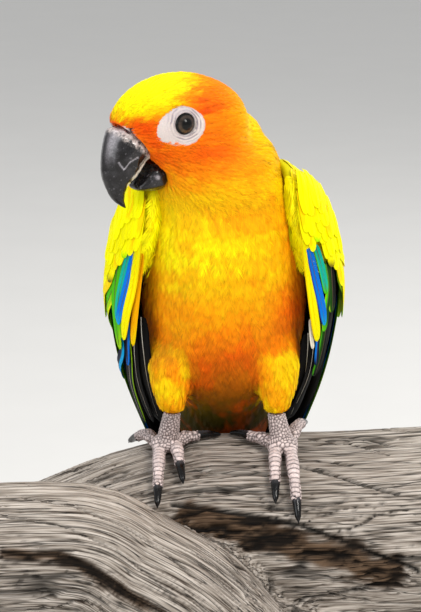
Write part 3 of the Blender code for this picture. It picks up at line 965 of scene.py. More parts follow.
@dataclass(frozen=True)
class Down:
    """The shape of one small feather as a fan of fine barbs.

    Args:
        barbs: Barbs on each side of the shaft.
        start: Where along the shaft the barbs begin.
        sweep: How far along the feather a barb runs.
        camber: How far the sides lie below the shaft, as a share of the half width.
        fray: How unevenly the barbs end, as a share of the half width.
    """

    barbs: int
    start: float
    sweep: float = 0.4
    camber: float = 0.14
    fray: float = 0.07

    def template(self) -> tuple:
        """The fan's points as (along, across, barb number, height), and its faces.

        Returns:
            The points and the faces.
        """
        rows, faces = [], []
        step = (1.0 - self.start) / self.barbs
        for side in (-1, 1):
            for k in range(self.barbs):
                share_out = (k + 0.5) / self.barbs
                tip, reach = self.outline(share_out)
                root = max(tip - self.sweep * (0.35 + 0.65 * reach), 0.0)
                number = k if side > 0 else k + self.barbs
                base = len(rows)
                for share, half in ((0.0, 0.75), (0.55, 0.6), (1.0, 0.0)):
                    middle = root + (tip - root) * share**1.25
                    across = side * reach * share**0.9
                    for end in ((-1, 1) if half else (0,)):
                        rows.append((middle + end * half * step, across, number, end * 0.1 * share))
                first, second = (0, 1) if side > 0 else (1, 0)
                faces.append((base + first, base + 2 + first, base + 2 + second, base + second))
                faces.append((base + 2 + first, base + 4, base + 2 + second))
        return np.array(rows, float), faces

    def outline(self, share: float) -> tuple:
        """The place along and across of the feather's outline, from its base at 0 to its tip at 1.

        Args:
            share: How far round the outline.

        Returns:
            The place along and the place across.
        """
        straight, widest, base = 0.45, 0.62, 0.55
        if share < straight:
            way = share / straight
            return self.start + (widest - self.start) * share / straight, base + (1 - base) * way**0.6
        turn = (share - straight) / (1 - straight) * math.pi / 2
        return widest + (1 - widest) * math.sin(turn), math.cos(turn) ** 0.9 + 0.02


@dataclass(frozen=True)
class Stand:
    """How the feathers of one region stand: sizes in millimetres.

    Args:
        length: The feather's length.
        half: Half its width.
        low: How far its root lies over the skin.
        high: How far its tip lies over the skin.
        uneven: How much sizes and directions vary.
    """

    length: float
    half: float
    low: float
    high: float
    uneven: float = 0.15


class Plumage:
    """Small feathers laid over a surface along the lie of the coat."""

    STATIONS = 5
    FOLLOW = 0.35
    ROOT_SHADE, TIP_SHADE = 0.82, 1.04
    PATCH = 0.003

    def __init__(self, ground: Ground, way: Callable[[Points], Points],
                 tints: Callable[[Points], Points], seed: int) -> None:
        """Sets what the feathers lie on, which way they lie, their colours and the random seed.

        Args:
            ground: The surface.
            way: Gives the direction of lie at points.
            tints: Gives the colours at points.
            seed: The random numbers' seed.
        """
        self.ground = ground
        self.way = way
        self.tints = tints
        self.random = np.random.default_rng(seed)

    def lay(self, name: str, roots: Points, down: Down, stand: Stand, finish: Finish, slot: str,
            scale: Optional[Points] = None) -> bpy.types.Object:
        """Builds one piece of plumage.

        Args:
            name: The piece's name.
            roots: Where feathers grow.
            down: The shape of a feather.
            stand: How the feathers stand.
            finish: Their finish.
            slot: The record's material slot.
            scale: Each feather's size beside the stand's, or none for 1.

        Returns:
            The piece.
        """
        count = len(roots)
        scale = np.ones(count) if scale is None else scale
        size = scale * (1 + stand.uneven * self.random.uniform(-1, 1, count))
        length, half = stand.length * size, stand.half * size
        spots, outward = self.ground.nearest(roots)
        ways = self.way(spots) + stand.uneven * self.random.normal(0, 0.5, (count, 3))
        ways = flattened(ways, outward)
        line, up = [spots], [outward]
        for _ in range(self.STATIONS - 1):
            step = spots + ways * (length / (self.STATIONS - 1))[:, None]
            spots, outward = self.ground.nearest(step)
            line.append(spots)
            up.append(outward)
            ways = flattened(unit(ways + self.FOLLOW * self.way(spots)), outward)
        line, up = np.stack(line, axis=1), unit(self.evened(np.stack(up, axis=1)))
        along = unit(np.gradient(line, axis=1))
        across = unit(np.cross(along, up))
        rows, faces = down.template()
        verts, colours = self.shaped(rows, line, up, across, half, scale, down, stand)
        obj = mesh_object(name, verts.reshape(-1, 3), self.repeated(faces, np.arange(count) * len(rows)))
        painted(obj, colours.reshape(-1, 3))
        patch = np.stack([rows[:, 1] / 2, np.clip(rows[:, 0], 0, 1) - 0.5], axis=-1) * self.PATCH
        mapped(obj, "OFBake", (self.bake_spots(roots)[:, None, :] + patch).reshape(-1, 2))
        return dressed(obj, finish, slot)

    @staticmethod
    def evened(stack: Points) -> Points:
        """Directions along each shaft, evened out between neighbours."""
        padded = np.concatenate([stack[:, :1], stack, stack[:, -1:]], axis=1)
        return padded[:, :-2] + 2 * padded[:, 1:-1] + padded[:, 2:]

    @staticmethod
    def repeated(faces: Sequence, offsets: np.ndarray) -> list:
        """The template's faces once for each offset.

        Args:
            faces: The template's faces.
            offsets: What to add to the indices, for each copy.

        Returns:
            Index tuples.
        """
        made = []
        for face in faces:
            made.extend((np.array(face)[None, :] + offsets[:, None]).tolist())
        return made

    @staticmethod
    def bake_spots(roots: Points) -> Points:
        """Each root's place on the skin unrolled round the bird's length."""
        turn = np.arctan2(roots[:, 0], -(roots[:, 1] + 4 - 0.3 * (roots[:, 2] - 50)))
        return np.stack([0.5 + 0.47 * turn / math.pi, 0.03 + 0.94 * (roots[:, 2] + 30) / 150], axis=-1)

    def shaped(self, rows: Points, line: Points, up: Points, across: Points, half: Points,
               scale: Points, down: Down, stand: Stand) -> tuple:
        """Places the template on every shaft.

        Args:
            rows: The template's points.
            line: Each shaft's stations.
            up: The outward direction at each station.
            across: The sideways direction at each station.
            half: Each feather's half width.
            scale: Each feather's size.
            down: The shape of a feather.
            stand: How the feathers stand.

        Returns:
            Points and colours, one row per feather.
        """
        count, last = len(line), self.STATIONS - 1
        share = np.clip(rows[:, 0], 0.0, 1.0)
        along = share * last
        i = np.minimum(along.astype(int), last - 1)
        t = (along - i)[None, :, None]

        def read(stack: Points) -> Points:
            """The stack read at the template's places along the shaft."""
            return stack[:, i] * (1 - t) + stack[:, i + 1] * t

        numbers = rows[:, 2].astype(int)
        barbs = self.random.normal(0, 1, (count, 2 * down.barbs, 3))[:, numbers]
        reach = np.abs(rows[:, 1])[None, :]
        side = rows[:, 1][None, :] * half[:, None] * (1 + down.fray * barbs[..., 0] * reach)
        tilt = self.random.normal(0, 0.07, (count, 1)) * side
        rise = stand.low + (stand.high - stand.low) * share[None, :] ** 1.3
        height = rise * np.sqrt(scale)[:, None] - down.camber * half[:, None] * reach**2
        height = height + (0.05 * barbs[..., 1] * reach + rows[:, 3][None, :] + tilt * 0.5) * 0.6
        slide = down.fray * barbs[..., 2] * reach * half[:, None]
        ahead = unit(line[:, -1] - line[:, 0])[:, None, :]
        verts = read(line) + read(across) * side[..., None] + read(up) * height[..., None]
        verts = verts + ahead * slide[..., None]
        base = self.tints(line[:, -2]) * self.random.uniform(0.92, 1.06, (count, 1))
        # Painted shade: each feather is darker at its root, where the feathers over it shade it, and a little
        # lighter at its tip.
        tone = self.ROOT_SHADE + (self.TIP_SHADE - self.ROOT_SHADE) * share
        shade = tone[None, :] * (1 + 0.09 * barbs[..., 0])
        return verts, base[:, None, :] * shade[..., None]


@dataclass
class Body:
    """The skin of head, neck, trunk and thighs, and the small feathers over it."""

    markings: Markings
    nodes: tuple = ("head", "neck", "trunk", "thigh_left", "thigh_right")
    voxel: float = 1.1
    rounds: int = 12
    grow: float = 0.35
    head_depth: float = 0.85
    body_depth: float = 1.15
    rump_depth: float = 1.1
    filler: tuple = (1.4, -5.0, 87.8)
    filler_radius: float = 10.0
    neck_from: float = 64.0
    belly_top: float = 34.0
    thigh_top: float = 30.0
    thigh_inside: float = 6.0
    ring_reach: float = 0.93

    def build(self) -> list:
        """Builds the skin and every tract of small feathers.

        Returns:
            The pieces.
        """
        skin = self.skin()
        ground = Ground(skin)
        pieces = [skin]
        plumage = Plumage(ground, self.way, self.markings.at, 5)
        roots = ground.scattered(self.gap, self.feathered, 3)
        head = self.headward(roots) > 0.5
        place = to_head(roots)
        thigh = self.on_thigh(roots) & (roots[:, 1] < 7) & ~head
        neck = ~head & (roots[:, 2] > self.neck_from)
        back = ~head & ~neck & ~thigh & (roots[:, 1] > 0.42 * (50 - roots[:, 2]))
        low = ~head & ~neck & ~thigh & ~back & (roots[:, 2] < self.belly_top)
        face = head & (place[:, 0] > -3)
        crown = head & ~face & (place[:, 2] > -4)
        cheek = head & ~face & ~crown
        small, fine = Down(barbs=7, start=0.25), Down(barbs=13, start=0.2, fray=0.12)
        for name, mask, down, stand, finish in (
            ("face_feathers", face, small, Stand(3.6, 0.78, 0.12, 0.5), DOWN),
            ("crown_feathers", crown, small, Stand(4.6, 0.9, 0.14, 0.55), DOWN),
            ("cheek_feathers", cheek, small, Stand(5.0, 1.0, 0.16, 0.6), DOWN),
            ("neck_feathers", neck, fine, Stand(8.5, 1.7, 0.25, 0.62), COAT),
            ("breast_feathers", ~(head | thigh | neck | back | low), fine, Stand(10.0, 1.9, 0.35, 0.8), COAT),
            ("belly_feathers", low, fine, Stand(10.5, 1.9, 0.35, 0.85, 0.2), COAT),
            ("thigh_feathers", thigh, fine, Stand(7.0, 1.15, 0.2, 1.0, 0.2), COAT),
            ("back_feathers", back, fine, Stand(10.0, 2.6, 0.3, 1.3), COAT),
        ):
            slot = "head_plumage" if finish is DOWN else "body_plumage"
            scale = 0.62 + 0.38 * smooth(2, 9, np.linalg.norm(place[mask] - BILL_ROOT, axis=1) - 7)
            pieces.append(plumage.lay(name, roots[mask], down, stand, finish, slot,
                                      scale if finish is DOWN else None))
        return pieces

    def skin(self) -> bpy.types.Object:
        """One closed skin under the plumage, with the same markings.

        Returns:
            The piece.
        """
        skin = copied("skin", *self.nodes)
        build = bmesh.new()
        build.from_mesh(skin.data)
        spot = Matrix.Translation(Vector(world(np.array(self.filler))))
        bmesh.ops.create_icosphere(build, subdivisions=4, radius=self.filler_radius * MM, matrix=spot)
        build.to_mesh(skin.data)
        build.free()
        remeshed(skin, self.voxel, self.rounds, self.grow)
        points = coordinates(skin)
        deep = self.grow + self.body_depth + (self.head_depth - self.body_depth) * self.headward(points)
        deep = np.where((points[:, 2] < 20) & (points[:, 1] < 4), self.rump_depth, deep)
        placed(skin, points - normals(skin) * deep[:, None])
        modified(skin, "SMOOTH", factor=0.5, iterations=4)
        points = coordinates(skin)
        place = to_head(points)
        # Painted shade: the skin is painted a little darker than the feathers that lie over it.
        colours = self.markings.at(points) * 0.95
        s, side, h = place[:, 0], np.abs(place[:, 1]), place[:, 2]
        cere = smooth(-0.6, 0.0, before_cere(s, h)) * smooth(6.4, 5.7, side) * smooth(1.5, 0.8, h)
        cere = cere * smooth(10.4, 11.2, s)
        colours = mixed(colours, Tint.RING.rgb, cere * 0.9)
        colours = mixed(colours, Tint.RING.rgb, smooth(0.92, 0.85, Eye.reach(place)) * (side > 4))
        # Painted shade: the nostril's opening is painted black.
        hole = np.linalg.norm((np.abs(place) - [12.7, 5.3, 0.6]) * [1.0, 0.7, 1.2], axis=1)
        colours = mixed(colours, Tint.BLACK.rgb, smooth(1.0, 0.55, hole))
        painted(skin, colours)
        return dressed(skin, COAT, "body_plumage", *self.nodes)

    @staticmethod
    def headward(points: Points) -> Points:
        """How far points belong to the head, from 0 to 1."""
        return smooth(77, 83, up_the_neck(points))

    def on_thigh(self, points: Points) -> Points:
        """Whether points lie low and far enough from the middle to be on a thigh."""
        return (points[:, 2] < self.thigh_top) & (np.abs(points[:, 0]) > self.thigh_inside)

    def gap(self, points: Points) -> Points:
        """The distance between feathers' roots.

        Args:
            points: Points in millimetres in the bird's frame.

        Returns:
            A distance in millimetres for each point.
        """
        place = to_head(points)
        face = smooth(0, 16, np.linalg.norm(place - BILL_ROOT, axis=1) - 6)
        head = 0.62 + 0.26 * face
        body = np.where(points[:, 2] > self.neck_from, 1.05, 1.25)
        body = np.where(self.on_thigh(points), 1.15, body)
        share = self.headward(points)
        return body * (1 - share) + head * share

    def feathered(self, points: Points) -> Points:
        """1 where feathers grow, 0 round the eyes, under the bill and inside the model.

        Args:
            points: Points in millimetres in the bird's frame.

        Returns:
            A share for each point.
        """
        place = to_head(points)
        s, side, h = place[:, 0], np.abs(place[:, 1]), place[:, 2]
        bare = (Eye.reach(place) < self.ring_reach) & (side > 4)
        bare |= (s > 12.0) & (h < 0.7) & (h > -13) & (side < 5.5)
        bare |= points[:, 2] < -24
        return (~bare).astype(float)

    def way(self, points: Points) -> Points:
        """The direction in which feathers lie.

        Args:
            points: Points in millimetres in the bird's frame.

        Returns:
            A direction for each point.
        """
        place = to_head(points)
        away = unit(place - BILL_ROOT)
        back = unit(away * [1.0, 0.9, 0.8] + np.array([-0.35, 0.0, -0.25])) @ HEAD_AXES
        down = np.broadcast_to(BODY_WAY, points.shape).copy()
        down[:, 0] += 0.010 * points[:, 0]
        leg = smooth(32, 22, points[:, 2]) * smooth(6, 9, np.abs(points[:, 0])) * smooth(8, 2, points[:, 1])
        down = down * (1 - leg[:, None]) + np.array([0.0, -0.15, -0.99]) * leg[:, None]
        share = smooth(72, 88, up_the_neck(points))[:, None]
        return unit(back * share + down * (1 - share))


# Eyes


@dataclass
class Eye:
    """One eye: a glossy ball and the bare folded ring round it.

    Args:
        side: 1 for the bird's left, -1 for its right.
        ground: The head's skin.
        radius: The ball's radius in millimetres.
        opening: The radius of the opening between the lids.
        pupil: The pupil's radius.
        iris_edge: The radii between which the iris darkens to its rim.
        cornea: How far the cornea bulges.
        spokes: The ring's points around.
        rings: The ring's points outwards.
        lid_over: How far the lid's edge lies over the skin.
        tuck: How far the ring's outer edge reaches beyond the bare zone, as a factor.
        outside: A distance sideways that is surely outside the head.
        grain: The noise of iris and folds.
    """

    side: int
    ground: Ground
    radius: float = 3.6
    opening: float = 2.95
    pupil: float = 1.5
    iris_edge: tuple = (2.25, 2.5)
    cornea: float = 0.28
    spokes: int = 120
    rings: int = 26
    lid_over: float = 0.95
    tuck: float = 1.06
    outside: float = 30.0
    grain: Grain = field(default_factory=lambda: Grain(23))

    @staticmethod
    def contour(turn: Points) -> Points:
        """The bare ring's radius in millimetres in each direction of the head's side.

        Args:
            turn: The directions' angles in radians.

        Returns:
            A radius for each direction.
        """
        degrees = np.degrees(turn)
        places, radii = zip(*((-123, 5.5), (-82, 6.1), (-53, 6.7), (-24, 8.1), (0, 7.5), (12, 6.8), (24, 6.1),
                              (42, 5.1), (72, 4.5), (110, 4.6), (145, 4.8), (180, 5.4)))
        nudged = [np.interp(degrees + nudge, places, radii, period=360) for nudge in (-8, -3, 3, 8)]
        return np.mean(nudged, axis=0)

    @staticmethod
    def reach(place: Points) -> Points:
        """How far from the eye's middle places lie, as a share of the bare ring's radius."""
        s, h = place[:, 0], place[:, 2]
        return np.hypot(s, h) / Eye.contour(np.arctan2(h, s))

    def build(self) -> list:
        """Builds the ball and the ring."""
        return [self.ball(), self.ring()]

    @property
    def name(self) -> str:
        """Which side this eye is on."""
        return "left" if self.side > 0 else "right"

    @property
    def middle(self) -> np.ndarray:
        """The ball's middle along the head's axes."""
        sunk = math.sqrt(self.radius**2 - self.opening**2)
        return np.array([0.0, self.side * (self.lid - sunk), 0.0])

    def __post_init__(self) -> None:
        """Finds the head's skin round the bare ring, and sets the lid's level from it."""
        self.turns = 2 * np.pi * np.arange(self.spokes) / self.spokes
        self.outer = self.contour(self.turns) * self.tuck
        self.rim = self.sideways(self.outer)
        self.lid = float(self.rim.mean()) + self.lid_over

    def ball(self) -> bpy.types.Object:
        """The eyeball with pupil, iris and dark rim, and a bulging cornea.

        Returns:
            The piece.
        """
        deselected()
        bpy.ops.mesh.primitive_uv_sphere_add(segments=96, ring_count=64, radius=1.0)
        obj = bpy.context.active_object
        obj.name = obj.data.name = f"eyeball_{self.name}"
        ball = per_vertex(obj, "co") @ np.array([[1, 0, 0], [0, 0, -1], [0, 1, 0]], float)
        ball = ball * [1.0, self.side, 1.0]
        off = np.linalg.norm(ball[:, [0, 2]], axis=1) * self.radius
        out = ball[:, 1] * self.side > 0
        bulge = np.where(out, self.cornea * smooth(2.3, 0.4, off), 0.0)
        place = ball * self.radius + ball * bulge[:, None] + self.middle
        placed(obj, from_head(place))
        faced_outward(obj)
        turn = np.arctan2(ball[:, 2], ball[:, 0])
        colours = Tint.IRIS.over(place)
        lines = self.grain.rough(np.stack([np.cos(turn) * 6, np.sin(turn) * 6, off * 0.8], axis=-1), 3)
        colours = mixed(colours, Tint.IRIS_GOLD.rgb, smooth(0.3, -1.0, np.sin(turn)) * 0.8)
        colours = mixed(colours, Tint.IRIS_DARK.rgb, smooth(0.42, 0.7, lines) * 0.7)
        colours = mixed(colours, Tint.IRIS_DARK.rgb, smooth(0.45, 0.0, off - self.pupil) * 0.5)
        colours = mixed(colours, Tint.BLACK.rgb, smooth(0.14, -0.06, off - self.pupil))
        colours = mixed(colours, Tint.BLACK.rgb, smooth(*self.iris_edge, off))
        colours = np.where(out[:, None], colours, Tint.BLACK.rgb)
        painted(obj, colours)
        softened(obj)
        return dressed(obj, EYE_GLOSS, "eye", f"eye_{self.name}")

    def ring(self) -> bpy.types.Object:
        """The pale bare skin round the eye: a rounded lid edge and fine folds that follow it.

        Returns:
            The piece.
        """
        verts, shades = [], []
        turns, outer = self.turns, self.outer
        inner = self.opening * 0.97
        for k in range(-3, self.rings + 1):
            share = max(k, 0) / self.rings
            off = inner + (outer - inner) * share**0.92
            wander = self.grain.rough(np.stack([np.cos(turns) * 2.2, np.sin(turns) * 2.2, off * 0.35], -1), 2)
            fold = np.sin(2 * np.pi * (off * 1.25 + 0.8 * wander)) * smooth(2.6, 1.2, off - inner)
            fold = fold * (0.25 + 0.75 * smooth(0.35, 0.6, wander + 0.12 * np.sin(turns - 0.9)))
            soft = smooth(0.0, 0.14, share) * smooth(1.0, 0.8, share)
            level = self.lid + (self.rim - self.lid) * share**1.4
            level = level + 0.3 * smooth(0.0, 0.1, share) * smooth(1.0, 0.7, share) + 0.07 * fold * soft
            level = level - 0.4 * smooth(0.85, 1.0, share)
            if k < 0:
                off = off * (1 - 0.006 * k * k)
                level = level + 0.22 * k
            else:
                level = np.maximum(level, self.skin_level(off) + 0.26 * smooth(1.0, 0.8, share))
            place = np.stack([np.cos(turns) * off, self.side * level, np.sin(turns) * off], axis=-1)
            verts.append(from_head(place))
            # Painted shade: the folds' creases, the ring's upper part, its inner part and the lid's edge are
            # painted grey to near black.
            tone = mixed(Tint.RING.over(place), Tint.RING_FOLD.rgb,
                         smooth(0.2, -0.8, fold) * soft * 0.8)
            above = smooth(0.0, 0.9, np.sin(turns)) * 0.6 + 0.25 * smooth(0.6, 0.0, share)
            tone = mixed(tone, Tint.RING_FOLD.rgb, above * 0.6)
            tone = mixed(tone, Tint.RING_FOLD.rgb * 0.25, smooth(0.08, 0.0, share) * 0.9)
            tone = mixed(tone, Tint.EMBER.rgb, smooth(0.88, 1.0, share) * 0.5)
            shades.append(tone)
        faces = [quad[::-self.side] for quad in tube_faces(len(verts), self.spokes)]
        obj = mesh_object(f"eye_ring_{self.name}", np.concatenate(verts), faces)
        painted(obj, np.concatenate(shades))
        return dressed(obj, RING_SKIN, "foot_skin")

    def sideways(self, off: Points) -> Points:
        """How far sideways the skin lies at distances from the eye in each direction.

        Args:
            off: A distance for each direction.

        Returns:
            A distance sideways for each direction.
        """
        flat = np.stack([np.cos(self.turns) * off, np.full(self.spokes, self.side * self.outside),
                         np.sin(self.turns) * off], axis=-1)
        hits = np.array([self.hit(point, -self.side * HEAD_AXES[1]) for point in from_head(flat)])
        return self.side * to_head(hits)[:, 1]

    def skin_level(self, off: Points) -> Points:
        """How far sideways the skin lies outside the eye's socket, and 0 inside it."""
        return np.where(off > self.opening + 0.07, self.sideways(off), 0.0)

    def hit(self, start: np.ndarray, way: np.ndarray) -> np.ndarray:
        """Where a line from outside meets the head's skin."""
        spot = self.ground.tree.ray_cast(Vector(start), Vector(way))[0]
        return np.array(spot) if spot is not None else start + way * 20.0


# Bill and claws


@dataclass
class Bill:
    """The two halves of the bill, with cere, nostrils, growth lines and a pale cutting edge."""

    voxel: float = 0.3
    grain: Grain = field(default_factory=lambda: Grain(31))
    nostril: tuple = (12.4, 3.4, -0.5)
    scratch: tuple = ((17.2, -8.2), (16.2, -10.2), (14.4, -8.4), (11.9, -7.6))

    def build(self) -> list:
        """Builds both halves."""
        return [self.half("bill_upper", True), self.half("bill_lower", False)]

    def half(self, node: str, upper: bool) -> bpy.types.Object:
        """One half of the bill, reshaped from its CAD node.

        Args:
            node: The CAD node that it replaces.
            upper: Whether it is the upper half.

        Returns:
            The piece.
        """
        obj = copied(f"{node}_horn", node)
        remeshed(obj, self.voxel, 10)
        points = coordinates(obj)
        place = self.fuller(to_head(points), upper)
        points = from_head(place)
        s, t, h = place.T
        side = np.abs(t)
        noise = self.grain.rough(place * 0.55, 3)
        fine = self.grain.rough(place * [2.2, 2.2, 2.2] + 40, 2)
        lift = 0.05 * (noise - 0.5)
        colours = mixed(Tint.CHARCOAL.over(place), Tint.SLATE.rgb, smooth(0.45, 0.75, noise) * 0.15)
        if upper:
            around = np.linalg.norm(place[:, [0, 2]] - [8.0, -9.0], axis=1)
            lift = lift + 0.05 * np.sin(around * 3.1 + 3 * noise)
            cere = smooth(3.9, 2.9, before_cere(s, h) + 1.2 * (noise - 0.5))
            colours = mixed(colours, Tint.RING.rgb, cere * smooth(0.75, 0.35, fine) * 0.7)
            lift = lift + 0.22 * cere
            pit = np.linalg.norm((np.stack([s, side, h], axis=-1) - self.nostril) * [1.0, 0.6, 1.0], axis=1)
            hole = smooth(0.95, 0.5, pit)
            colours = mixed(colours, Tint.RING.rgb, smooth(2.6, 1.3, pit) * 0.8)
            lift = lift - 0.9 * hole
            # Painted shade: the nostril's pit is painted black.
            colours = mixed(colours, Tint.BLACK.rgb, hole)
            # Painted highlight: a small cream spot near the tip, where light shows between the two halves.
            notch_highlight = np.linalg.norm((place[:, [0, 2]] - [14.3, -15.4]) * [1.0, 0.6], axis=1)
            colours = mixed(colours, Tint.CREAM.rgb, smooth(0.8, 0.4, notch_highlight) * (side > 0.8) * 0.8)
            # Painted highlight: a pale streak down the bill's side near the culmen.
            streak = np.exp(-(((side - 1.9 - 0.8 * noise) / 1.3) ** 2)) * smooth(-10.5, -2.5, h)
            streak = streak * (0.6 + 0.8 * (self.grain.rough(place * [1.6, 1.6, 0.25] + 9, 2)))
            colours = mixed(colours, Tint.PALE_HORN.rgb, streak * 0.5)
            edge = self.tomium(s, h)
            colours = mixed(colours, Tint.CREAM.rgb, edge * 0.75)
            lift = lift + 0.1 * edge
            for start, end in zip(self.scratch[:-1], self.scratch[1:]):
                line = self.stroke(s, h, start, end) * (t > 0)
                colours = mixed(colours, Tint.PALE_HORN.rgb, line * 0.6)
                lift = lift - 0.06 * line
            colours = mixed(colours, Tint.PALE_HORN.rgb, smooth(0.74, 0.8, fine) * 0.2)
        else:
            colours = mixed(colours, Tint.PALE_HORN.rgb, smooth(0.7, 0.78, fine) * 0.2)
            # Painted highlight: a pale spot on the lower half's side.
            spot = np.linalg.norm(place[:, [0, 2]] - [6.4, -14.6], axis=1)
            colours = mixed(colours, Tint.PALE_HORN.rgb, smooth(0.9, 0.3, spot) * (t > 0) * 0.6)
        placed(obj, points + normals(obj) * lift[:, None])
        painted(obj, colours)
        return dressed(obj, HORN, "bill", node)

    @staticmethod
    def fuller(place: Points, upper: bool) -> Points:
        """Draws the upper half's edges down over the lower half, or squares the lower half's chin.

        Args:
            place: Points along the head's axes.
            upper: Whether they belong to the upper half.

        Returns:
            The moved points.
        """
        s, t, h = place.T
        if upper:
            shift = 1.5 * smooth(5.0, 0.8, Bill.over_edge(s, h)) * smooth(0.8, 2.8, np.abs(t))
            shift = shift * smooth(16.5, 12.5, s)
            return place - shift[:, None] * [0.62, 0.0, 0.78]
        shift = smooth(9.0, 5.0, s) * smooth(-13.0, -16.5, h)
        return place + shift[:, None] * [-1.0, 0.0, -1.0]

    @staticmethod
    def over_edge(s: Points, h: Points) -> Points:
        """How far places lie above the upper half's cutting edge."""
        return (s - 6.3) * 0.62 + (h + 8.3) * 0.78

    @staticmethod
    def stroke(s: Points, h: Points, start: tuple, end: tuple) -> Points:
        """A thin line on the bill's side between two places, as a share from 0 to 1.

        Args:
            s: Places along the bill.
            h: Heights over its edge.
            start: The line's first place.
            end: The line's last place.

        Returns:
            A share for each place.
        """
        wide = 0.16
        a, b = np.array(start), np.array(end)
        place = np.stack([s, h], axis=-1) - a
        share = np.clip(place @ (b - a) / np.dot(b - a, b - a), 0, 1)
        off = np.linalg.norm(place - share[:, None] * (b - a), axis=1)
        return smooth(wide * 1.6, wide * 0.5, off)

    def tomium(self, s: Points, h: Points) -> Points:
        """The pale cutting edge of the upper half, as a share from 0 to 1.

        Args:
            s: Places along the bill.
            h: Heights over its edge.

        Returns:
            A share for each place.
        """
        above = self.over_edge(s, h)
        line = smooth(0.75, 0.45, np.abs(above - 0.35)) * smooth(14.2, 13.2, s)
        return np.maximum(line, 0.5 * smooth(0.3, 0.1, np.abs(above - 1.5)) * smooth(12.0, 11.0, s))


@dataclass
class Claws:
    """The eight claws, each smoothed from its CAD node."""

    names: tuple = tuple(f"claw_{side}_{toe}" for side in ("left", "right")
                         for toe in ("inner_front", "outer_front", "inner_rear", "outer_rear"))

    def build(self) -> list:
        """Builds every claw."""
        return [self.claw(name) for name in self.names]

    def claw(self, node: str) -> bpy.types.Object:
        """One glossy black claw, a little paler where it leaves the toe.

        Args:
            node: The claw's CAD node.

        Returns:
            The piece.
        """
        obj = copied(f"{node}_horn", node)
        modified(obj, "SUBSURF", levels=2, render_levels=2)
        points = coordinates(obj)
        high = (points[:, 2] - points[:, 2].min()) / np.ptp(points[:, 2])
        placed(obj, points + normals(obj) * (0.5 * smooth(0.0, 0.3, high))[:, None])
        painted(obj, mixed(Tint.BLACK.over(points), Tint.SLATE.rgb, smooth(0.75, 1.0, high) * 0.5))
        softened(obj)
        return dressed(obj, CLAW_HORN, "claw", node)


# Large feathers


@dataclass(frozen=True)
class Quill:
    """One large feather on a sheet.

    Args:
        path: Its shaft's places on the sheet, from root to tip.
        half: Half its width in millimetres.
        low: How far its root lies off the sheet.
        high: How far its tip lies off the sheet.
        inner: The colour of the vane on the trailing side.
        outer: The colour of the vane on the leading side.
        tip: The tip's colour.
        edge: The colour of the leading edge.
        shaft: The shaft's colour.
        blunt: Where along the feather its tip begins to round.
        lean: How much narrower the leading side is.
    """

    path: tuple
    half: float
    low: float
    high: float
    inner: Tint
    outer: Tint
    tip: Tint
    edge: Optional[Tint] = None
    shaft: Tint = Tint.SHAFT_BROWN
    blunt: float = 0.72
    lean: float = 0.25


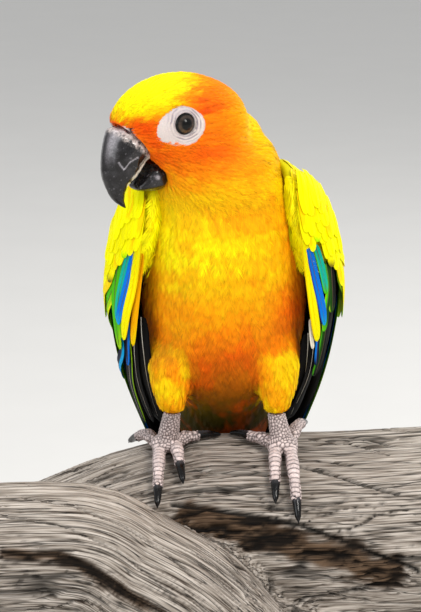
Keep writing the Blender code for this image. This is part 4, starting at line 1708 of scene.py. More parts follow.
class Sheet:
    """A curved surface with two coordinates that large feathers are laid on."""

    ROWS, COLUMNS = 26, 11
    THICK = 0.22
    STEP = 0.02
    SHAFT_END = 0.93

    def __init__(self, surface: Callable[[Points, Points], Points], scale: float, facing: float,
                 seed: int) -> None:
        """Sets the surface, the second coordinate's step, which way is outwards, and the random seed.

        Args:
            surface: Gives the surface at two coordinates.
            scale: The second coordinate's step.
            facing: Which way is outwards.
            seed: The random numbers' seed.
        """
        self.surface = surface
        self.scale = scale
        self.facing = facing
        self.random = np.random.default_rng(seed)

    def basis(self, a: Points, b: Points) -> tuple:
        """The surface's two directions for one step of each coordinate, and outwards.

        Args:
            a: The first coordinate.
            b: The second coordinate.

        Returns:
            The three directions.
        """
        step_b = self.STEP * self.scale
        first = (self.surface(a + self.STEP, b) - self.surface(a - self.STEP, b)) / (2 * self.STEP)
        second = (self.surface(a, b + step_b) - self.surface(a, b - step_b)) / (2 * step_b)
        return first, second, unit(np.cross(first, second)) * self.facing

    def build(self, name: str, quills: Sequence[Quill], finish: Finish, slot: str) -> bpy.types.Object:
        """Builds one piece from some large feathers.

        Args:
            name: The piece's name.
            quills: The feathers.
            finish: Their finish.
            slot: The record's material slot.

        Returns:
            The piece.
        """
        verts, faces, colours, barbs, bake, base = [], [], [], [], [], 0
        for number, quill in enumerate(quills):
            points, quads, tones, lines = self.feather(quill)
            verts.append(points)
            faces.extend(tuple(i + base for i in quad) for quad in quads)
            base += len(points)
            colours.append(tones)
            barbs.append(lines)
            width = 1.0 / len(quills)
            across = np.clip(lines[:, 0] / (2 * quill.half) + 0.5, 0.0, 1.0)
            length = max(float(lines[:, 1].max()), 1.0)
            bake.append(np.stack([(number + 0.08 + 0.84 * across) * width,
                                  0.03 + 0.94 * lines[:, 1] / length], axis=-1))
        obj = mesh_object(name, np.concatenate(verts), faces)
        painted(obj, np.concatenate(colours))
        mapped(obj, "barbs", np.concatenate(barbs))
        mapped(obj, "OFBake", np.concatenate(bake))
        return dressed(obj, finish, slot)

    def feather(self, quill: Quill) -> tuple:
        """A closed thin vane with a raised shaft.

        Args:
            quill: The feather.

        Returns:
            Its points, faces, colours and places on the barb map.
        """
        knots = np.array(quill.path, float)
        t = np.linspace(0, 1, self.ROWS)
        places = curve_rows(knots, t * (len(knots) - 1))
        a, b = places[:, 0], places[:, 1]
        spine = self.surface(a, b)
        first, second, out = self.basis(a, b)
        along = unit(np.gradient(spine, axis=0))
        side = unit(np.cross(along, out))
        side = side * -np.sign(np.sum(side * second, axis=1, keepdims=True))
        inverse = np.linalg.pinv(np.stack([first, second], axis=-1))
        change = np.einsum("nij,nj->ni", inverse, side)
        taper = np.sqrt(np.clip(1 - (np.maximum(t - quill.blunt, 0) / (1.0001 - quill.blunt)) ** 2, 0.002, 1))
        width = quill.half * taper * smooth(-0.25, 0.2, t)
        v = np.linspace(-1, 1, self.COLUMNS)
        reach = np.where(v > 0, 1 - quill.lean, 1.0) * v
        offset = width[:, None] * reach[None, :]
        surface = self.surface(a[:, None] + change[:, :1] * offset, b[:, None] + change[:, 1:] * offset)
        rise = quill.low + (quill.high - quill.low) * t
        rise = rise[:, None] - 0.035 * quill.half * v[None, :] ** 2 + 0.05 * self.random.normal()
        ripple = 0.05 * np.sin(5 * v[None, :] + 9 * t[:, None] + self.random.uniform(0, 6))
        top = surface + out[:, None] * (rise + ripple)[..., None]
        under = top - out[:, None] * (self.THICK * (1 - v**2) + 0.02)[None, :, None]
        rows, cols = self.ROWS, self.COLUMNS
        index = np.arange(rows * cols).reshape(rows, cols)
        below = index + rows * cols
        ring = np.concatenate([index[0], index[1:, -1], index[-1, -2::-1], index[-2:0:-1, 0]])
        quads = []
        for i in range(rows - 1):
            for j in range(cols - 1):
                quads.append((index[i, j], index[i, j + 1], index[i + 1, j + 1], index[i + 1, j]))
                quads.append((below[i + 1, j], below[i + 1, j + 1], below[i, j + 1], below[i, j]))
        for p, q in zip(ring, np.roll(ring, -1)):
            quads.append((q, p, p + rows * cols, q + rows * cols))
        forward = np.cross(surface[0, 1] - surface[0, 0], surface[1, 0] - surface[0, 0])
        if np.dot(forward, out[0]) < 0:
            quads = [quad[::-1] for quad in quads]
        length = np.concatenate([[0], np.cumsum(np.linalg.norm(np.diff(spine, axis=0), axis=1))])
        lines = np.stack([offset, np.broadcast_to(length[:, None], offset.shape)], axis=-1).reshape(-1, 2)
        tones = self.tones(quill, t, v)
        shaft, shaft_faces = self.shaft(spine, side, out, rise[:, cols // 2], quill, 2 * rows * cols)
        shaft_lines = np.stack([np.zeros(3 * rows), np.repeat(length, 3)], axis=-1)
        # Painted shade: each vane's underside is painted at 0.8 of its top's colour.
        return (np.concatenate([top.reshape(-1, 3), under.reshape(-1, 3), shaft]), quads + shaft_faces,
                np.concatenate([tones, tones * 0.8, quill.shaft.over(shaft)]),
                np.concatenate([lines, lines, shaft_lines]))

    def tones(self, quill: Quill, t: Points, v: Points) -> Points:
        """The vane's colours over its length and width.

        Args:
            quill: The feather.
            t: Places along the vane.
            v: Places across the vane.

        Returns:
            A colour for each place.
        """
        along, across = np.meshgrid(t, v, indexing="ij")
        tones = mixed(np.broadcast_to(quill.inner.rgb, (*along.shape, 3)), quill.outer.rgb,
                      smooth(-0.25, 0.25, across))
        tones = mixed(tones, quill.tip.rgb, smooth(0.72, 0.98, along + 0.06 * across))
        if quill.edge is not None:
            tones = mixed(tones, quill.edge.rgb, smooth(0.62, 0.9, across) * smooth(1.0, 0.9, along))
        # Painted shade: each vane is darker towards its root, where the feathers over it cover it.
        tones = tones * (0.72 + 0.28 * smooth(0.0, 0.5, along))[..., None] * self.random.uniform(0.9, 1.08)
        return tones.reshape(-1, 3)

    def shaft(self, spine: Points, side: Points, out: Points, rise: Points, quill: Quill,
              base: int) -> tuple:
        """A thin three-sided shaft along the vane.

        Args:
            spine: The feather's middle line on the sheet.
            side: The sideways direction at each station.
            out: The outward direction at each station.
            rise: How far the vane lies off the sheet.
            quill: The feather.
            base: The number of its first point.

        Returns:
            Its points and faces.
        """
        t = np.linspace(0, 1, len(spine))
        wide = (0.05 + 0.05 * quill.half**0.5) * (1.05 - t)[:, None]
        level = spine + out * rise[:, None]
        stations = curve_rows(level, np.minimum(t, self.SHAFT_END) * (len(level) - 1))
        left, right = stations - side * wide, stations + side * wide
        ridge = stations + out * (0.09 + 0.6 * wide)
        points = np.stack([left - out * 0.05, ridge, right - out * 0.05], axis=1).reshape(-1, 3)
        faces = []
        for i in range(len(spine) - 1):
            for j in range(3):
                p, q = base + 3 * i + j, base + 3 * i + (j + 1) % 3
                faces.append((p, q, q + 3, p + 3))
        return points, faces


@dataclass
class Wing:
    """A folded wing: a core, small coverts, and its large feathers over them.

    Args:
        side: 1 for the bird's left, -1 for its right.
        table: Down the wing, its middle's y and z, how far out it lies, its depth to the front and to the
            back, its thickness at the side and at the edges, and the degrees where it begins and ends.
        shown: For each side, the feathers that show from the front: half the width in the photograph's
            pixels, how far root and tip lie off the wing, the tints, and the shaft's pixels.
        yellow_tips: For each side, the pixels of the yellow feathers' tips.
        yellow_path: A yellow feather's shaft, in pixels inward and up from its tip.
        yellow_layers: How many rows of yellow feathers lie over each other.
        grain: The noise that mottles the coverts.
    """

    side: int
    table: tuple = (
        (-9.0, 83.5, 18.0, 12.0, 11.5, 5.0, 2.6, -16.0, 58.0),
        (-10.0, 77.0, 25.6, 18.6, 18.6, 6.6, 3.2, -36.0, 72.0),
        (-5.0, 64.0, 31.2, 22.4, 22.8, 8.2, 3.6, -42.0, 81.0),
        (2.0, 47.0, 33.6, 23.6, 23.6, 8.4, 3.6, -31.0, 84.0),
        (9.0, 31.0, 32.2, 22.8, 22.2, 6.6, 3.4, -16.0, 85.0),
        (18.0, 15.0, 28.8, 16.0, 18.2, 3.6, 3.0, -6.0, 85.0),
        (28.5, -2.0, 23.2, 11.0, 13.0, 2.6, 2.5, 0.0, 85.0),
        (40.3, -21.0, 16.6, 8.0, 8.2, 2.2, 2.1, 6.0, 84.0),
        (52.5, -40.0, 10.6, 5.0, 5.4, 1.7, 1.6, 12.0, 82.0),
        (64.5, -61.5, 4.6, 3.0, 3.3, 1.0, 1.0, 14.0, 76.0),
    )
    shown: dict = field(default_factory=lambda: {
        -1: (
            (8.0, -2.0, -1.4, "black black black none shaft_pale",
             (139, 318), (142, 350), (147, 388), (158, 428)),
            (4.2, -1.5, -0.9, "black black black none shaft_pale",
             (130, 335), (132, 362), (137, 392), (151, 428)),
            (3.4, -1.1, -0.6, "black navy black lime shaft_pale",
             (124, 335), (126, 362), (130, 392), (143, 428)),
            (2.2, -0.8, -0.3, "navy blue blue none shaft_brown",
             (125, 320), (125.5, 340), (126.6, 366)),
            (2.6, -0.8, -0.2, "navy cyan blue cyan shaft_brown",
             (117, 330), (119, 356), (124.5, 381)),
            (3.4, -0.6, 0.0, "green lime lime lemon shaft_brown",
             (113, 262), (109.5, 294), (113, 325), (118, 349)),
            (3.6, -0.5, 0.1, "green green lime lime shaft_brown",
             (119, 252), (114.5, 284), (115.5, 318), (119.5, 349)),
            (3.0, -0.4, 0.15, "green lime lime gold shaft_brown",
             (124, 250), (119.6, 280), (118.4, 312), (121.5, 338)),
            (3.0, -0.2, 0.3, "teal teal cyan green shaft_brown",
             (131.5, 243), (124.5, 270), (119.2, 298), (117.8, 320)),
            (3.4, -0.1, 0.4, "blue blue cyan violet shaft_brown",
             (136.6, 243), (129.5, 272), (122.5, 303), (118.8, 323)),
            (3.4, -0.9, -0.4, "amber amber gold none gold",
             (140, 252), (137, 280), (133.5, 312), (132, 346)),
            (4.0, 0.0, 0.6, "lemon lemon lemon gold gold",
             (139.5, 240), (134, 278), (127.5, 310), (125, 338)),
        ),
        1: (
            (8.0, -2.0, -1.4, "black black black none shaft_pale",
             (313, 335), (311, 362), (305, 392), (289, 424)),
            (5.0, -1.5, -1.0, "black black black none shaft_pale",
             (318, 320), (316, 352), (311, 382), (297, 412)),
            (4.5, -1.1, -0.4, "black dark_green black green shaft_brown",
             (334, 290), (330, 322), (324, 352), (316, 378)),
            (2.4, -0.8, -0.3, "navy blue navy none shaft_brown",
             (320, 318), (319, 342), (317.5, 366)),
            (3.4, -0.8, 0.0, "dark_green black lime lime shaft_brown",
             (340, 250), (341, 275), (339.5, 299)),
            (3.6, -0.6, 0.0, "black dark_green dark_green lime shaft_brown",
             (332, 262), (333, 288), (332, 311)),
            (3.4, -0.4, 0.1, "dark_green green green lime shaft_brown",
             (326, 262), (329.6, 286), (326.5, 310), (324, 330)),
            (3.2, -0.2, 0.3, "teal teal green green shaft_brown",
             (315, 244), (321.4, 266), (325.4, 291)),
            (3.8, -0.1, 0.45, "blue blue cyan violet shaft_brown",
             (308, 246), (314.8, 276), (320.4, 302), (323.6, 323)),
            (1.9, -0.6, 0.1, "cream cream cream none shaft_pale",
             (311, 318), (312, 334), (313.4, 348)),
            (4.4, 0.0, 0.6, "lemon lemon lemon gold gold",
             (303.5, 238), (308.4, 278), (313.4, 312), (316.6, 339)),
        ),
    })
    yellow_tips: dict = field(default_factory=lambda: {
        -1: (
            (136.5, 249), (131, 252), (125.5, 256), (120, 262), (114.5, 270), (110, 281), (106.5, 293),
        ),
        1: (
            (305.5, 244), (311, 247), (316, 238), (321, 244), (326, 258), (331, 268), (336, 266),
            (341, 284),
        ),
    })
    yellow_path: tuple = ((6.0, 42), (2.6, 20), (0.0, 0))
    yellow_layers: int = 3
    grain: Grain = field(default_factory=lambda: Grain(41))

    def __post_init__(self) -> None:
        """Prepares the lookup from the view and from space to the wing's surface."""
        self.u, self.turn = (grid.ravel() for grid in np.meshgrid(
            np.linspace(0, 9, 361), np.linspace(-44, 86, 196), indexing="ij"))
        self.dense = self.surface(self.u, self.turn)
        self.pixels = seen_at(self.dense)
        self.down = unit(self.surface(self.u + 0.01, self.turn) - self.surface(self.u - 0.01, self.turn))
        self.space = KDTree(len(self.dense))
        for i, point in enumerate(self.dense):
            self.space.insert(point, i)
        self.space.balance()
        self.front = np.flatnonzero(self.turn < 12)

    @property
    def name(self) -> str:
        """The CAD node that this wing replaces."""
        return "wing_left" if self.side > 0 else "wing_right"

    def surface(self, u: Points, turn: Points, inset: float = 0.0) -> Points:
        """Points on the wing's outer surface, or inside it.

        Args:
            u: The place down the wing, in rows of the table.
            turn: The angle from the side towards the back, in degrees.
            inset: How deep, as a share of the wing's thickness.

        Returns:
            The points.
        """
        u, turn = np.broadcast_arrays(np.asarray(u, float), np.asarray(turn, float))
        rows = curve_rows(self.table, u)
        change = curve_rows(self.table, u + 0.05) - curve_rows(self.table, u - 0.05)
        rear = unit(np.stack([-change[..., 1], change[..., 0]], axis=-1))
        angle = np.radians(turn)
        thick = rows[..., 5] + (rows[..., 6] - rows[..., 5]) * np.abs(np.sin(angle)) ** 1.5
        across = (rows[..., 2] - inset * thick) * np.cos(angle)
        deep = (np.where(turn > 0, rows[..., 4], rows[..., 3]) - inset * thick) * np.sin(angle)
        return np.stack([self.side * across, rows[..., 0] + rear[..., 0] * deep,
                         rows[..., 1] + rear[..., 1] * deep], axis=-1)

    def spot(self, column: float, row: float) -> tuple:
        """The wing's place that is seen there from the front.

        Args:
            column: A column of the photograph.
            row: A row of the photograph.

        Returns:
            The place's two coordinates.
        """
        off = np.sum((self.pixels[self.front] - [column, row]) ** 2, axis=1)
        near = self.front[np.argmin(off)]
        return float(self.u[near]), float(self.turn[near])

    def build(self) -> list:
        """Builds the core, the coverts and the large feathers.

        Returns:
            The pieces.
        """
        core = self.core()
        ground = Ground(core)
        coverts = self.coverts(ground)
        sheet = Sheet(self.surface, 30.0, self.side, 50 + self.side)
        flights = sheet.build(f"{self.name}_flights", self.flights(), VANE, "wing_feathers")
        shown = sheet.build(f"{self.name}_front_feathers", self.front_feathers(), VANE, "wing_feathers")
        return [core, coverts, flights, shown]

    def core(self) -> bpy.types.Object:
        """The wing's closed core under its feathers.

        Returns:
            The piece.
        """
        rings, u_rows = [], np.linspace(0, 9, 91)
        outer_count, inner_count = 26, 16
        for u in u_rows:
            row = curve_rows(self.table, np.array([u]))[0]
            front, rear = row[7] + 2.5, row[8] - 1.0
            outer = np.linspace(front, rear, outer_count)
            inner = np.linspace(rear, front, inner_count)
            thick = row[5] + (row[6] - row[5]) * np.abs(np.sin(np.radians(outer))) ** 1.5
            depth = np.minimum(0.42, 2.3 / thick)
            rings.append(np.concatenate([
                np.stack([self.surface(u, turn, inset) for turn, inset in zip(outer, depth)]),
                self.surface(u, inner, 1.0),
            ]))
        count = outer_count + inner_count
        faces = tube_faces(len(rings), count)
        faces.append(tuple(range(count))[::-1])
        faces.append(tuple(range((len(rings) - 1) * count, len(rings) * count)))
        if self.side > 0:
            faces = [face[::-1] for face in faces]
        obj = mesh_object(f"{self.name}_core", np.concatenate(rings), faces)
        faced_outward(obj)
        # Painted shade: the core is painted at 0.6 of its coverts' colour and black below them, so that the
        # gaps between feathers read as shadow.
        dark = smooth(2.0, 2.7, np.repeat(u_rows, count))
        painted(obj, mixed(self.tints(coordinates(obj)) * 0.6, Tint.BLACK.rgb, dark))
        return dressed(obj, COAT, "wing_feathers", self.name)

    def where(self, points: Points) -> Points:
        """The dense grid's nearest place to each point."""
        return np.array([self.space.find(point)[1] for point in points])

    def tints(self, points: Points) -> Points:
        """The coverts' colours.

        Args:
            points: Points in millimetres in the bird's frame.

        Returns:
            A colour for each point.
        """
        x, y, z = np.asarray(points, float).T
        mottle = self.grain.rough(points * np.array([0.3, 0.3, 0.2]), 3)
        colours = mixed(Tint.LEMON.over(points), Tint.GOLD.rgb,
                        smooth(0.4, 0.7, mottle) * 0.6)
        fringe = smooth(22, 30, np.abs(x)) * smooth(-9, -2, y) * smooth(54, 64, z)
        colours = mixed(colours, Tint.ORANGE.rgb, fringe * smooth(0.4, 0.6, mottle) * 0.8)
        back = smooth(6, 18, y) * smooth(30, 60, z)
        return mixed(colours, Tint.ORANGE.rgb, back * smooth(0.45, 0.7, mottle) * 0.45)

    def coverts(self, ground: Ground) -> bpy.types.Object:
        """The small yellow feathers from the shoulder down to the large ones.

        Args:
            ground: The core's surface.

        Returns:
            The piece.
        """

        def keep(points: Points) -> Points:
            """1 on the core's outer side, above the large feathers.

            Args:
                points: Points in millimetres in the bird's frame.

            Returns:
                A share for each point.
            """
            place = self.where(points)
            u, turn = self.u[place], self.turn[place]
            rows = curve_rows(self.table, u)
            deep = np.linalg.norm(points - self.dense[place], axis=1)
            above = u < np.where(turn < 8, 2.0, 2.1)
            return (above & (deep < 0.75 * rows[:, 5]) & (turn > rows[:, 7] - 2)).astype(float)

        roots = ground.scattered(lambda points: np.full(len(points), 1.6), keep, 60 + self.side)
        plumage = Plumage(ground, lambda points: self.down[self.where(points)], self.tints, 70 + self.side)
        down = Down(barbs=11, start=0.2, fray=0.06, camber=0.16)
        stand = Stand(9.5, 2.6, 0.3, 1.15, 0.08)
        return plumage.lay(f"{self.name}_coverts", roots, down, stand, VANE_DOWN, "wing_feathers")

    def flights(self) -> list:
        """The primaries, secondaries, tertials and greater coverts of the side and back.

        Returns:
            The pieces.
        """
        made = []
        for k in range(8):
            path = ((3.3 + 0.1 * k, 6 + 7.0 * k), (5.4, 10 + 7.2 * k), (7.2 - 0.1 * k, 17 + 6.6 * k),
                    (8.97 - 0.36 * k, 27 + 5.2 * k))
            made.append(Quill(path, 4.6, -1.5 + 0.08 * k, -0.75 + 0.1 * k, Tint.BLACK,
                              Tint.NAVY if k < 5 else Tint.DARK_GREEN, Tint.BLACK,
                              Tint.BLUE if k < 4 else Tint.GREEN, Tint.SHAFT_BROWN, 0.8, 0.45))
        for k in range(8):
            end = 6.3 - 0.06 * k + 0.17 * math.sin(2.3 * k)
            path = ((2.7, 4 + 10.0 * k), (4.4, 9 + 9.8 * k), (end, 17 + 8.6 * k))
            made.append(Quill(path, 4.9, -1.2 + 0.06 * k, -0.15 + 0.06 * k, Tint.DARK_GREEN, Tint.GREEN,
                              Tint.BLUE, Tint.LIME, Tint.SHAFT_BROWN, 0.8, 0.2))
        for k in range(4):
            path = ((2.3, 50 + 8.6 * k), (3.7, 52 + 8.4 * k), (5.2 - 0.2 * k, 55 + 7.6 * k))
            made.append(Quill(path, 5.0, -0.7 + 0.08 * k, 0.35 + 0.06 * k, Tint.LIME, Tint.GREEN, Tint.GREEN,
                              Tint.GOLD, Tint.SHAFT_BROWN, 0.78, 0.1))
        for k in range(9):
            end = 3.72 + 0.2 * math.sin(2.1 * k)
            path = ((1.9, -2 + 9.8 * k), (2.8, 0 + 9.7 * k), (end, 3 + 9.4 * k))
            made.append(Quill(path, 4.1, -0.6 + 0.03 * k, 0.6 + 0.02 * k, Tint.GOLD, Tint.LEMON,
                              Tint.LIME if k % 3 != 1 else Tint.LEMON, None, Tint.GOLD, 0.6, 0.05))
        return made

    @staticmethod
    def named(words: str) -> list:
        """The tints of a list of names, where "none" stands for no tint."""
        return [None if word == "none" else Tint[word.upper()] for word in words.split()]

    def seen(self, path: Sequence, half: float, low: float, high: float, *tints: Optional[Tint],
             blunt: float = 0.75) -> Quill:
        """A feather whose shaft follows a line seen from the front.

        Args:
            path: The line's points in the photograph's frame.
            half: Half the width as seen, in pixels.
            low: How far its root lies off the wing.
            high: How far its tip lies off the wing.
            tints: Inner, outer, tip, edge and shaft colours.
            blunt: Where its tip begins to round.

        Returns:
            The feather.
        """
        spots = tuple(self.spot(*point) for point in path)
        u, turn = (np.array([spot[k] for spot in spots]) for k in (0, 1))
        here = self.surface(u, turn)
        aside = self.surface(u, turn - 2.0)
        apart = np.linalg.norm(aside - here, axis=1)
        shown = np.abs(seen_at(aside)[:, 0] - seen_at(here)[:, 0]) * PIXEL
        wide = half * PIXEL * float(np.clip(np.median(apart / np.maximum(shown, 1e-3)), 1.0, 2.2))
        inner, outer, tip, edge, shaft = tints
        return Quill(spots, wide, low, high, inner, outer, tip, edge, shaft, blunt, 0.1)

    def front_feathers(self) -> list:
        """The feathers that show from the front, laid where they show.

        Returns:
            The pieces.
        """
        made = [self.seen(path, half, low, high, *self.named(tints))
                for half, low, high, tints, *path in self.shown[self.side]]
        random = np.random.default_rng(90 + self.side)
        for layer in range(self.yellow_layers):
            for k, (column, row) in enumerate(self.yellow_tips[self.side]):
                row = row - 16 * layer + random.uniform(-4, 3)
                column = column - self.side * (1.4 * layer - 1.0)
                path = [(column - self.side * lean, row - up) for lean, up in self.yellow_path]
                tip = (Tint.LIME, Tint.OLIVE)[k % 2] if layer == 0 and k % 3 == 2 else Tint.LEMON
                outer = Tint.GOLD if random.uniform() < 0.3 else Tint.LEMON
                made.append(self.seen(path, 4.6, -0.25 + 0.2 * layer, 0.4 + 0.22 * layer, Tint.LEMON, outer,
                                      tip, None, Tint.LEMON, blunt=0.5))
        return made


@dataclass
class Tail:
    """The long graduated tail: twelve olive green feathers with blue tips, and the coverts over its root."""

    table: tuple = (
        (28.5, -2.0, 12.0, 8.0, 8.6),
        (39.0, -22.0, 10.2, 4.9, 6.2),
        (50.0, -41.0, 9.6, 3.0, 3.8),
        (61.0, -61.0, 9.6, 1.7, 2.0),
        (72.0, -81.5, 8.2, 1.1, 1.3),
        (81.5, -99.0, 5.4, 0.8, 0.9),
        (87.0, -109.0, 2.2, 0.6, 0.6),
    )

    def middle(self, u: Points, x: Points) -> Points:
        """Points on the tail's middle sheet, across by x and round towards its sides.

        Args:
            u: Places down the tail.
            x: Places across it.

        Returns:
            Points in millimetres in the bird's frame.
        """
        u, x = np.broadcast_arrays(np.asarray(u, float), np.asarray(x, float))
        rows = curve_rows(self.table, u)
        change = curve_rows(self.table, u + 0.05) - curve_rows(self.table, u - 0.05)
        rear = unit(np.stack([-change[..., 1], change[..., 0]], axis=-1))
        drop = -0.045 * x**2 * rows[..., 3] / 4.0
        return np.stack([x, rows[..., 0] + rear[..., 0] * drop, rows[..., 1] + rear[..., 1] * drop], axis=-1)

    def build(self) -> list:
        """Builds the tail's feathers.

        Returns:
            The pieces.
        """
        sheet = Sheet(self.middle, 1.0, 1.0, 90)
        quills = []
        for k in range(6):
            for side in (-1, 1):
                out = side * (0.9 + 1.45 * k)
                end = 5.98 - 0.42 * k
                path = ((0.4, 0.55 * out), (2.2, out), (end - 1.0, 0.9 * out), (end, 0.5 * out))
                quills.append(Quill(path, 4.2 - 0.15 * k, 1.4 - 0.55 * k, 0.45 - 0.16 * k,
                                    Tint.OLIVE if k < 2 else Tint.DARK_GREEN, Tint.GREEN, Tint.BLUE,
                                    Tint.BLUE if k > 2 else None, Tint.SHAFT_BROWN, 0.8, 0.05))
        for k in range(3):
            for side in (-1, 0, 1):
                out = side * (2.6 + 1.6 * k)
                level = 4.4 - 0.8 * k
                path = ((0.35 * k, 0.8 * out), (1.0 + 0.45 * k, out), (1.7 + 0.5 * k, out))
                quills.append(Quill(path, 3.6, level, level - 1.6, Tint.OLIVE, Tint.LIME, Tint.GOLD, None,
                                    Tint.AMBER, 0.6, 0.0))
                path = ((0.6 + 0.35 * k, 0.8 * out), (1.3 + 0.45 * k, out), (1.9 + 0.5 * k, out))
                quills.append(Quill(path, 3.4, -level + 0.2, -level + 1.4, Tint.OLIVE, Tint.OLIVE,
                                    Tint.DARK_OLIVE, None, Tint.AMBER, 0.6, 0.0))
        obj = sheet.build("tail_vanes", quills, TAIL_VANE, "tail_feathers")
        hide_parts("tail")
        return [obj]


# Feet


@dataclass
class Foot:
    """A bare foot with grainy scales and broad scutes across its toes.

    Args:
        side: 1 for the bird's left, -1 for its right.
        voxel: The size of its faces in millimetres.
        stem: The branch's middle y and z below the foot, and its radius.
        toes: For each side, the foot's x and y, and each toe's place across, turn in degrees and length.
        scute: The scutes' length along a toe.
        toe_top: How far the scutes' middles lie over the branch.
        clear: How far grains keep from scutes.
        grain_gap: The distance between grains.
        pad: How high scales stand over the gaps.
        sink: How deep the gaps lie below the CAD shape.
    """

    side: int
    voxel: float = 0.27
    stem: tuple = (1.0, -27.0, 27.0)
    toes: dict = field(default_factory=lambda: {
        1: (16.3, -6.0, ((-2.1, 0.0, 13.4), (2.1, 5.0, 18.6), (-1.8, -128.0, 9.5), (2.0, 163.0, 12.5))),
        -1: (16.0, -2.5, ((-2.2, -9.0, 9.6), (2.1, 1.0, 16.2), (-1.8, -112.0, 7.5), (2.0, 148.0, 12.0))),
    })
    scute: float = 1.25
    toe_top: float = 4.3
    clear: float = 1.25
    grain_gap: float = 0.66
    pad: float = 0.3
    sink: float = 0.18

    @property
    def name(self) -> str:
        """The CAD node that this foot replaces."""
        return "foot_left" if self.side > 0 else "foot_right"

    def scutes(self) -> tuple:
        """Places along the tops of the toes, three for each scute, and the scutes' numbers.

        Returns:
            The places and the numbers.
        """
        x, y, toes = self.toes[self.side]
        middle_y, middle_z, radius = self.stem
        first = math.asin((middle_y - y) / radius)
        spots, numbers = [], []
        for toe, (across, spread, length) in enumerate(toes):
            spread = math.radians(spread)
            for k in range(2, int(length / self.scute) + 1):
                out = x + across + k * self.scute * math.sin(spread)
                turn = first + k * self.scute * math.cos(spread) / radius
                drop = float(log_drop(self.side * out))
                for aside in (-1.0, 0.0, 1.0):
                    lift = radius + self.toe_top - 0.5 * abs(aside)
                    spots.append((self.side * (out + aside * math.cos(spread)),
                                  middle_y - lift * math.sin(turn), middle_z - drop + lift * math.cos(turn)))
                    numbers.append(1000 * toe + k)
        return np.array(spots), np.array(numbers)

    def build(self) -> list:
        """Builds the foot.

        Returns:
            The pieces.
        """
        obj = copied(f"{self.name}_skin", self.name)
        remeshed(obj, self.voxel, 5)
        ground = Ground(obj)
        small = ground.scattered(lambda points: np.full(len(points), self.grain_gap),
                                 lambda points: np.ones(len(points)), 80 + self.side, 7.0)
        wide, numbers = self.scutes()
        far = np.array([np.linalg.norm(wide - spot, axis=1).min() > self.clear for spot in small])
        seeds = np.concatenate([wide, small[far]])
        numbers = np.concatenate([numbers, 10000 + np.arange(far.sum())])
        tree = KDTree(len(seeds))
        for i, seed in enumerate(seeds):
            tree.insert(seed, i)
        tree.balance()
        points = coordinates(obj)
        edge, own = np.empty(len(points)), np.empty(len(points), int)
        for i, point in enumerate(points):
            found = tree.find_n(point, 7)
            home = numbers[found[0][1]]
            other = next((f[2] for f in found[1:] if numbers[f[1]] != home), found[-1][2])
            edge[i], own[i] = other - found[0][2], home
        placed(obj, points + normals(obj) * (self.pad * smooth(0.0, 0.5, edge) - self.sink)[:, None])
        tone = np.random.default_rng(7).uniform(0.86, 1.1, 20000)[own]
        # Painted shade: faces that turn downward are painted darker.
        colours = mixed(Tint.FOOT.over(points), Tint.SOLE.rgb,
                        smooth(0.4, -0.6, normals(obj)[:, 2]) * 0.7) * tone[:, None]
        # Painted shade: the creases between scales are painted dark.
        colours = mixed(colours, Tint.FOOT_GAP.rgb, (1 - smooth(0.06, 0.4, edge)) * 0.9)
        painted(obj, colours)
        softened(obj)
        return [dressed(obj, FOOT_SKIN, "foot_skin", self.name)]


# Perch and stand


